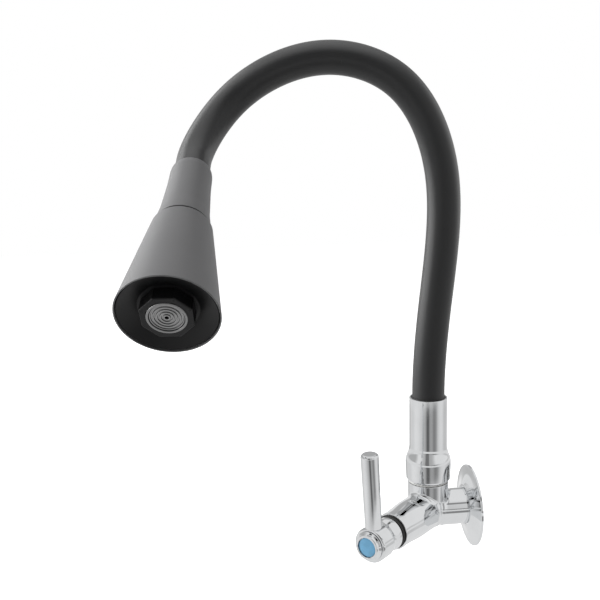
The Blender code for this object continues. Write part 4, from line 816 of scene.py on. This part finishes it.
def cone_outline(head):
    """The cone, its inner sleeve round the stem, and the ledge and thin lip that hold the black face."""
    slope = (head.face_radius - head.seam_radius) / (head.face - head.seam)
    ledge = head.face - 0.0045

    def inner(place):
        return head.seam_radius + slope * (place - head.seam) - 0.0020

    return [
        (head.face_radius - 0.0009, head.face, 0.0003), (head.face_radius - 0.0011, ledge, 0.0001),
        (inner(ledge), ledge, 0.0002), (inner(head.seam + 0.0020), head.seam + 0.0020, 0.0004),
        (0.0090, head.seam + 0.0020, 0.0004), (0.0090, 0.0880, 0.0002), (0.0055, 0.0880, 0.0002),
        (0.0055, head.seam, 0.0002), (head.seam_radius - 0.0012, head.seam, 0.0003),
        (head.seam_radius + 0.0002, head.seam + 0.0014, 0.0030),
        (head.face_radius, head.face, 0.0004),
    ]


def dish_outline(head):
    """Black face: a cone sunk into the head's end, a flat round the nut, and its back."""
    edge, floor = head.face_radius - 0.0014, head.face - 0.0060
    return [
        (0.0119, floor - 0.0022, 0.0003), (0.0162, floor - 0.0022, 0.0006),
        (edge - 0.0017, head.face - 0.0042, 0.0003), (edge, head.face - 0.0042, 0.0001),
        (edge, head.face - 0.0007, 0.0003), (0.0166, floor, 0.0016), (0.0119, floor, 0.0003),
    ]


def housing_outline(head):
    outer, end = head.aerator_radius, head.face + 0.0025
    return [
        (outer - 0.0014, end - 0.0072, 0.0002), (outer, end - 0.0072, 0.0002), (outer, end, 0.0005),
        (outer - 0.0014, end, 0.0004),
    ][::-1]


def insert_outline(head):
    """Aerator insert: raised rings between its rim and its pierced hub."""
    outer, top = head.aerator_radius - 0.0017, head.face + 0.0018
    hub, groove, rings = 0.0019, 0.0008, 4
    pitch = (outer - 0.0007 - hub) / (rings - 0.45)
    outline = [(outer, top, 0.0002), (outer, top - 0.0032, 0.0002), (0.0011, top - 0.0032, 0.0002),
               (0.0011, top, 0.0002)]
    for i in range(rings):
        start = hub + i * pitch
        outline += [(start, top, 0.0002), (start + 0.0001, top - groove, 0.0002),
                    (start + 0.5 * pitch, top - groove, 0.0002), (start + 0.6 * pitch, top, 0.0002)]
    return outline


def nut_surface(head, place, sides=8):
    """Eight-sided nut: a rounded octagon carried along a rounded profile, and a round bore.

    The octagon's points are corner arcs joined by flats; each profile entry moves
    every point along the octagon's own normal.
    """
    turn = 2.0 * math.pi * np.arange(sides) / sides + math.pi / sides
    corner = head.nut_flats / math.cos(math.pi / sides)
    plan = [(corner * math.cos(a), corner * math.sin(a), 0.0007) for a in turn]
    points, normals = rounded(plan[::-1], closed=True, turn_step=9.0)
    wide = np.hypot(points[:, 0], points[:, 1])
    round_normals = points / wide[:, None]
    low, high, bore = head.face - 0.0057, head.face + 0.0020, head.aerator_radius + GAP
    outside, across = rounded([(-0.0010, low), (0.0, low, 0.0002), (0.0, high, 0.0006), (-0.0012, high)],
                              closed=False, turn_step=15.0)
    inside, inward = rounded([(bore + 0.0010, high), (bore, high, 0.0003), (bore, low, 0.0002),
                              (bore + 0.0010, low)], closed=False, turn_step=15.0)
    flat = np.array((1.0, 1.0, 0.0))
    base = np.column_stack([points, np.zeros(len(points))])
    side = np.column_stack([normals, np.zeros(len(points))])
    wheel = np.column_stack([round_normals, np.zeros(len(points))])
    outer = base[None] + outside[:, None, :1] * side[None] * flat + outside[:, None, 1:] * UP
    outer_normals = -(across[:, None, :1] * side[None] + across[:, None, 1:] * UP)
    inner = inside[:, None, :1] * wheel[None] + inside[:, None, 1:] * UP
    inner_normals = -(inward[:, None, :1] * wheel[None] + inward[:, None, 1:] * UP)
    grid = np.concatenate([outer, inner])
    shade = np.concatenate([outer_normals, inner_normals])
    return skin("aerator_nut_eight_sided", *placed(grid, shade, place), close_rows=True)


# ---------------------------------------------------------------- studio

WHITE = (1.0, 1.0, 1.0, 1.0)
ROOM, ROOM_LEAST = 0.93, 0.03     # the room in reflections, round the horizon
STUDIO_GAPS = (                   # darker upright gaps: azimuth and half width in degrees, depth
    (-8.0, 48.0, 0.50),           # the dim room behind the camera
    (-20.0, 9.0, 0.30),           # two dark strips in it
    (24.0, 14.0, 0.22),
    (108.0, 26.0, 0.30),          # a dim corner at the right
    (-160.0, 14.0, 0.34),         # one at the back
    (-125.0, 20.0, 0.16),         # a faint one between the back and the left
)
HIGH_ROOM = 0.84                  # the room above the horizon
HIGH_PATCHES = (                  # darker there: azimuth, cosines and heights between which it fades, depth
    (-16.0, (0.72, 0.98), (-0.10, 0.00, 0.70, 0.85), 0.36),      # broad strip behind the camera
    (-20.0, (0.975, 0.995), (-0.10, 0.00, 0.70, 0.85), 0.28),    # narrow strip in it
    (-8.0, (0.20, 0.60), (0.46, 0.52, 0.60, 0.66), 0.45),        # level bar across it
    (-112.0, (0.72, 0.94), (-0.10, 0.10, 0.55, 0.80), 0.36),     # strip at the left
    (170.0, (0.50, 0.80), (0.12, 0.22, 0.50, 0.62), 0.38),       # patch at the back
)
HORIZON_EASE = 0.08               # height over which the gaps give way to the patches
DULL_LIGHT = 0.20                 # the room for all but reflections and the camera
FLOOR_HALF, FLOOR_DROP = 3.0, 0.12
FLOOR_PALE = 0.80                 # the floor in reflections, outside the ring
FLOOR_RING = (0.31, 0.37, 0.72, 0.85)    # ring round the tap that reflects the gaps, in metres
FLOOR_GLOW = 0.84                 # the floor's own light for the camera
LAMPS = (                         # name, place, target, size in metres, watts
    ("left_soft_lamp", (-0.48, -1.60, 0.60), (0.0, -0.12, 0.16), 2.2, 55.0),
    ("right_soft_lamp", (-0.40, 1.30, 0.50), (0.0, -0.05, 0.12), 1.4, 5.0),
    ("top_soft_lamp", (0.10, -0.15, 1.30), (0.0, -0.10, 0.10), 1.2, 5.0),
)
CAMERA_PLACE = (0.56799, -0.18719, 0.24984)
CAMERA_TURN = (83.05, 9.78, -1.29)       # azimuth, pitch and roll in degrees
CAMERA_LENS, CAMERA_SENSOR = 52.85, 36.0


class StudioNodes:
    """An emptied node tree, and arithmetic in it on numbers, vectors and sockets."""

    def __init__(self, owner):
        owner.use_nodes = True
        self.tree = owner.node_tree
        self.tree.nodes.clear()

    def node(self, kind, *values, operation=None):
        """A node whose first inputs are set, or linked where the value is a socket."""
        made = self.tree.nodes.new(kind)
        if operation is not None:
            made.operation = operation
        for socket, value in zip(made.inputs, values):
            if isinstance(value, bpy.types.NodeSocket):
                self.tree.links.new(value, socket)
            else:
                socket.default_value = value
        return made

    def number(self, operation, *values):
        return self.node("ShaderNodeMath", *values, operation=operation).outputs[0]

    def times(self, first, second):
        return self.number("MULTIPLY", first, second)

    def less(self, first, second):
        return self.number("SUBTRACT", first, second)

    def mixed(self, share, low, high):
        """low where the share is 0 and high where it is 1, as low + share * (high - low)."""
        return self.number("ADD", low, self.times(share, self.less(high, low)))

    def eased(self, value, start, end):
        """0 below start, 1 above end, an even ease between them."""
        made = self.node("ShaderNodeMapRange", value, start, end)
        made.interpolation_type = "SMOOTHSTEP"
        return made.outputs["Result"]

    def band(self, value, edges):
        """1 between the middle two of four edges, eased to 0 at the outer two."""
        return self.less(self.eased(value, *edges[:2]), self.eased(value, *edges[2:]))

    def flat(self, direction):
        """The direction laid level, of length 1."""
        level = self.node("ShaderNodeVectorMath", direction, (1.0, 1.0, 0.0), operation="MULTIPLY")
        whole = self.node("ShaderNodeVectorMath", level.outputs["Vector"], operation="NORMALIZE")
        return whole.outputs["Vector"]

    def facing(self, flat, azimuth):
        """Cosine between a level direction and an azimuth in degrees."""
        towards = (math.cos(math.radians(azimuth)), math.sin(math.radians(azimuth)), 0.0)
        return self.node("ShaderNodeVectorMath", flat, towards, operation="DOT_PRODUCT").outputs["Value"]

    def gaps(self, flat):
        """Brightness of the room round the horizon: ROOM less its darker upright gaps.

        Each gap is depth / (1 + (chord / half width)^4), where the chord is that of
        the angle between the level direction and the gap's centre.
        """
        total = ROOM
        for centre, half_width, depth in STUDIO_GAPS:
            chord_squared = self.less(2.0, self.times(self.facing(flat, centre), 2.0))
            share = self.number("DIVIDE", chord_squared, math.radians(half_width) ** 2)
            fall = self.number("DIVIDE", depth, self.number("ADD", 1.0, self.times(share, share)))
            total = self.less(total, fall)
        return self.number("MAXIMUM", total, ROOM_LEAST)


def studio_world():
    """White for the camera; for reflections a white room with darker gaps, and patches above the horizon.

    What reflections see depends only on the direction in the world.
    """
    world = bpy.data.worlds.new("studio_room")
    bpy.context.scene.world = world
    nodes = StudioNodes(world)
    path = nodes.node("ShaderNodeLightPath").outputs
    direction = nodes.node("ShaderNodeTexCoord").outputs["Generated"]
    height = nodes.node("ShaderNodeSeparateXYZ", direction).outputs["Z"]
    flat = nodes.flat(direction)
    high = HIGH_ROOM
    for azimuth, cosines, heights, depth in HIGH_PATCHES:
        patch = nodes.times(nodes.eased(nodes.facing(flat, azimuth), *cosines), nodes.band(height, heights))
        high = nodes.less(high, nodes.times(patch, depth))
    reflected = nodes.mixed(nodes.eased(height, 0.0, HORIZON_EASE), nodes.gaps(flat), high)
    level = nodes.mixed(path["Is Glossy Ray"], DULL_LIGHT, reflected)
    level = nodes.mixed(path["Is Camera Ray"], level, 1.0)
    shade = nodes.node("ShaderNodeBackground", WHITE, level)
    nodes.node("ShaderNodeOutputWorld", shade.outputs[0])


def studio_floor(tones):
    """Pale floor that keeps the shadow.

    Reflections see it evenly pale, but for a ring round the tap that shows the room's gaps.
    """
    size, level = FLOOR_HALF, float(CAD_BOX[0][2]) - FLOOR_DROP
    corners = [(-size, -size, level), (size, -size, level), (size, size, level), (-size, size, level)]
    mesh = bpy.data.meshes.new("studio_floor")
    mesh.from_pydata(corners, [], [(0, 1, 2, 3)])
    floor = bpy.data.objects.new("studio_floor", mesh)
    bpy.context.scene.collection.objects.link(floor)
    made = bpy.data.materials.new("pale_floor")
    nodes = StudioNodes(made)
    path = nodes.node("ShaderNodeLightPath").outputs
    place = nodes.node("ShaderNodeTexCoord").outputs["Object"]
    split = nodes.node("ShaderNodeSeparateXYZ", place).outputs
    squares = nodes.number("ADD", nodes.times(split["X"], split["X"]), nodes.times(split["Y"], split["Y"]))
    ring = nodes.band(nodes.number("SQRT", squares), FLOOR_RING)
    dull = nodes.node("ShaderNodeBsdfDiffuse", (*tones.floor, 1.0))
    glow = nodes.node("ShaderNodeEmission", WHITE, nodes.times(path["Is Camera Ray"], FLOOR_GLOW))
    both = nodes.node("ShaderNodeAddShader", dull.outputs[0], glow.outputs[0])
    reflected = nodes.mixed(ring, FLOOR_PALE, nodes.gaps(nodes.flat(place)))
    mirror = nodes.node("ShaderNodeEmission", WHITE, reflected)
    choose = nodes.node("ShaderNodeMixShader", path["Is Glossy Ray"], both.outputs[0], mirror.outputs[0])
    nodes.node("ShaderNodeOutputMaterial", choose.outputs[0])
    mesh.materials.append(made)


def softly_lit():
    """Collection of all that the lamps light: the floor and every piece that isn't chrome."""
    lit = bpy.data.collections.new("softly_lit")
    for made in bpy.data.objects:
        if made.type == "MESH" and MATERIALS["chrome"] not in list(made.data.materials):
            lit.objects.link(made)
    return lit


def soft_lamp(name, place, target, size, power, lit):
    """A square area lamp that faces a point and lights the pieces of one collection."""
    lamp = bpy.data.lights.new(name, "AREA")
    lamp.shape = "SQUARE"
    lamp.size = size
    lamp.energy = power
    made = bpy.data.objects.new(name, lamp)
    bpy.context.scene.collection.objects.link(made)
    made.location = place
    made.rotation_euler = (Vector(target) - Vector(place)).to_track_quat("-Z", "Y").to_euler()
    made.light_linking.receiver_collection = lit


def photo_camera():
    """Camera of the photograph, from its azimuth, pitch and roll."""
    azimuth, pitch, roll = (math.radians(value) for value in CAMERA_TURN)
    back = np.array((math.sin(azimuth) * math.cos(pitch), -math.cos(azimuth) * math.cos(pitch),
                     math.sin(pitch)))
    right = np.array((math.cos(azimuth), math.sin(azimuth), 0.0))
    up = np.cross(back, right)
    columns = np.stack([right * math.cos(roll) + up * math.sin(roll),
                        up * math.cos(roll) - right * math.sin(roll), back], axis=1)
    data = bpy.data.cameras.new("photo_camera")
    data.sensor_width = CAMERA_SENSOR
    data.lens = CAMERA_LENS
    data.clip_start = 0.01
    made = bpy.data.objects.new("photo_camera", data)
    bpy.context.scene.collection.objects.link(made)
    matrix = np.eye(4)
    matrix[:3, :3] = columns
    matrix[:3, 3] = CAMERA_PLACE
    made.matrix_world = Matrix(matrix.tolist())
    bpy.context.scene.camera = made


# ---------------------------------------------------------------- operators


class TAP_OT_finish_frame(bpy.types.Operator):
    """Make the materials and give the hidden CAD pieces theirs"""

    bl_idname = "tap.finish_frame"
    bl_label = "Materials and Hidden Pieces"

    def execute(self, context):
        MATERIALS.update(make_materials(context.scene.tap_finishes))
        for finish, nodes in CAD_FINISHES.items():
            for node in nodes:
                for slot in frame["nodes"][node].material_slots:
                    slot.material = MATERIALS[finish]
        return {"FINISHED"}


class TAP_OT_cast_body(bpy.types.Operator):
    """Build the smooth chrome casting"""

    bl_idname = "tap.cast_body"
    bl_label = "Chrome Casting"

    def execute(self, context):
        piece = Casting(context.scene.tap_body).build()
        finished(piece, "tap_body", "chrome", "body_casting")
        return {"FINISHED"}


class TAP_OT_wall_flange(bpy.types.Operator):
    """Build the domed wall flange"""

    bl_idname = "tap.wall_flange"
    bl_label = "Wall Flange"

    def execute(self, context):
        piece = lathe("wall_flange_dome", flange_outline(context.scene.tap_body),
                      axis_frame((0.0, 0.0, 0.0), (0.0, -1.0, 0.0)), columns=144)
        finished(piece, "flange", "chrome", "wall_flange")
        return {"FINISHED"}


class TAP_OT_lever(bpy.types.Operator):
    """Build the barrel's black ring, the handle's hub, its pin and the blue index button"""

    bl_idname = "tap.lever"
    bl_label = "Lever Handle"

    def execute(self, context):
        body = context.scene.tap_body
        place = axis_frame(neck_foot(body), BARREL_DIRECTION)
        end = body.barrel_length
        ring = [(0.0071, end + 0.0024, 0.0003), (0.0109, end + 0.0024, 0.0006),
                (0.0111, end - 0.0009, 0.0002), (0.0071, end - 0.0009, 0.0002)]
        finished(lathe("black_mouth_ring", ring, place), "tap_body", "rubber", "barrel_mouth_ring")
        finished(lathe("lever_hub", hub_outline(body), place, columns=128), "lever", "chrome", "handle_hub")
        finished(lathe("index_bezel", bezel_outline(body), place, columns=128),
                 "lever", "chrome", "index_cap")
        finished(lathe("index_button", index_outline(body), place, closed=False),
                 "lever", "blue", "index_disc")
        middle = (body.drum_start + body.drum_end) / 2.0
        lean = UP * math.cos(PIN_LEAN) + BARREL_DIRECTION * math.sin(PIN_LEAN)
        stand = axis_frame(neck_foot(body) + BARREL_DIRECTION * middle, lean)
        finished(lathe("lever_pin_rod", pin_outline(body), stand, closed=False),
                 "lever", "chrome", "lever_pin")
        return {"FINISHED"}


class TAP_OT_swivel_collar(bpy.types.Operator):
    """Build the chrome swivel collar and the rubber ring at its mouth"""

    bl_idname = "tap.swivel_collar"
    bl_label = "Swivel Collar"

    def execute(self, context):
        spout = context.scene.tap_spout
        place = axis_frame(neck_foot(context.scene.tap_body), UP)
        finished(lathe("chrome_collar", collar_outline(spout), place, columns=144), "spout", "chrome",
                 "swivel_collar")
        finished(lathe("collar_mouth_seal", seal_outline(spout), place),
                 "spout", "rubber", "collar_seal_ring")
        return {"FINISHED"}


class TAP_OT_flexible_spout(bpy.types.Operator):
    """Build the sleeve, the wound conduit and the water hose, each in three lengths"""

    bl_idname = "tap.flexible_spout"
    bl_label = "Flexible Spout"

    def execute(self, context):
        spout = context.scene.tap_spout
        route = Route(neck_foot(context.scene.tap_body) + UP * spout.collar_top)
        bodies = ["spout", "hose_low", "hose_crown", "hose_tip"]
        cores = [["gooseneck_core_root"], ["gooseneck_core_low"],
                 ["gooseneck_core_crown", "gooseneck_core_tip"]]
        # name, reach past the route's start and end, radius, wall, step, columns, relief, finish
        layers = [
            ("sleeve", 0.0088, 0.0143, spout.sleeve_radius, spout.sleeve_wall, 0.0016, 72, None, "sleeve"),
            ("conduit", 0.0190, 0.0243, spout.conduit_radius, 0.0016, 0.00065, 28, winding, "conduit"),
            ("water_line", 0.0255, 0.0310, spout.water_radius, 0.0014, 0.0030, 32, None, "water_hose"),
        ]
        for i, name in enumerate(["lower", "crown", "upper"]):
            replaced = [f"hose_sleeve_{name}"], cores[i], [f"water_hose_{name}"]
            for (layer, root, tip, *sizes, relief, finish), nodes in zip(layers, replaced):
                places = [-root, *SLEEVE_CUTS, route.length + tip]
                start = places[i] + (HAIR if i else 0.0)
                piece = tube(f"{layer}_{name}", route, start, places[i + 1], *sizes, relief)
                bend_between(piece, route, BEND_PLACES[i], bodies[i], bodies[i + 1], finish, *nodes)
        return {"FINISHED"}


class TAP_OT_spray_head(bpy.types.Operator):
    """Build the grey cap and cone of the spray head"""

    bl_idname = "tap.spray_head"
    bl_label = "Spray Head"

    def execute(self, context):
        head = context.scene.tap_head
        place = head_frame(context.scene)
        finished(lathe("head_cap_shell", cap_outline(head), place, columns=144),
                 "hose_tip", "head", "head_cap")
        finished(lathe("head_cone_shell", cone_outline(head), place, columns=160),
                 "head", "head", "head_shell")
        return {"FINISHED"}


class TAP_OT_spray_face(bpy.types.Operator):
    """Build the black dished face, its eight-sided nut and the ringed aerator"""

    bl_idname = "tap.spray_face"
    bl_label = "Spray Face"

    def execute(self, context):
        head = context.scene.tap_head
        place = head_frame(context.scene)
        finished(lathe("black_dish", dish_outline(head), place, columns=160), "head", "face", "spray_face")
        finished(nut_surface(head, place), "head", "face", "aerator_nut")
        finished(lathe("aerator_ring", housing_outline(head), place, columns=128), "head", "rim",
                 "aerator_housing")
        finished(lathe("aerator_rings", insert_outline(head), place, columns=128), "head", "insert",
                 "aerator_insert")
        return {"FINISHED"}


class TAP_OT_stage(bpy.types.Operator):
    """Set up the pale floor, the soft studio light and the photograph's camera"""

    bl_idname = "tap.stage"
    bl_label = "Studio and Camera"

    def execute(self, context):
        context.scene.view_settings.view_transform = "Standard"
        studio_world()
        studio_floor(context.scene.tap_finishes)
        lit = softly_lit()
        for lamp in LAMPS:
            soft_lamp(*lamp, lit)
        photo_camera()
        return {"FINISHED"}


class TAP_PT_panel(bpy.types.Panel):
    """Lists the tap's pieces, sizes and colours"""

    bl_label = "Sink Tap"
    bl_idname = "TAP_PT_panel"
    bl_space_type = "VIEW_3D"
    bl_region_type = "UI"
    bl_category = "Sink Tap"

    def draw(self, context):
        column = self.layout.column()
        for operator in OPERATORS:
            column.operator(operator.bl_idname)
        for group in (context.scene.tap_body, context.scene.tap_spout, context.scene.tap_head,
                      context.scene.tap_finishes):
            box = self.layout.box()
            for key in group.__annotations__:
                box.prop(group, key)


OPERATORS = (
    TAP_OT_finish_frame, TAP_OT_cast_body, TAP_OT_wall_flange, TAP_OT_lever, TAP_OT_swivel_collar,
    TAP_OT_flexible_spout, TAP_OT_spray_head, TAP_OT_spray_face, TAP_OT_stage,
)
GROUPS = {"tap_body": TapBodySizes, "tap_spout": TapSpoutSizes, "tap_head": TapHeadSizes,
          "tap_finishes": TapFinishes}


def register():
    for group in GROUPS.values():
        bpy.utils.register_class(group)
    for key, group in GROUPS.items():
        setattr(bpy.types.Scene, key, bpy.props.PointerProperty(type=group))
    for item in (*OPERATORS, TAP_PT_panel):
        bpy.utils.register_class(item)


def unregister():
    for item in reversed((*OPERATORS, TAP_PT_panel)):
        bpy.utils.unregister_class(item)
    for key, group in reversed(GROUPS.items()):
        delattr(bpy.types.Scene, key)
        bpy.utils.unregister_class(group)


def main():
    """Build every piece."""
    register()
    for operator in OPERATORS:
        group, call = operator.bl_idname.split(".")
        getattr(getattr(bpy.ops, group), call)()


if __name__ == "__main__":
    main()
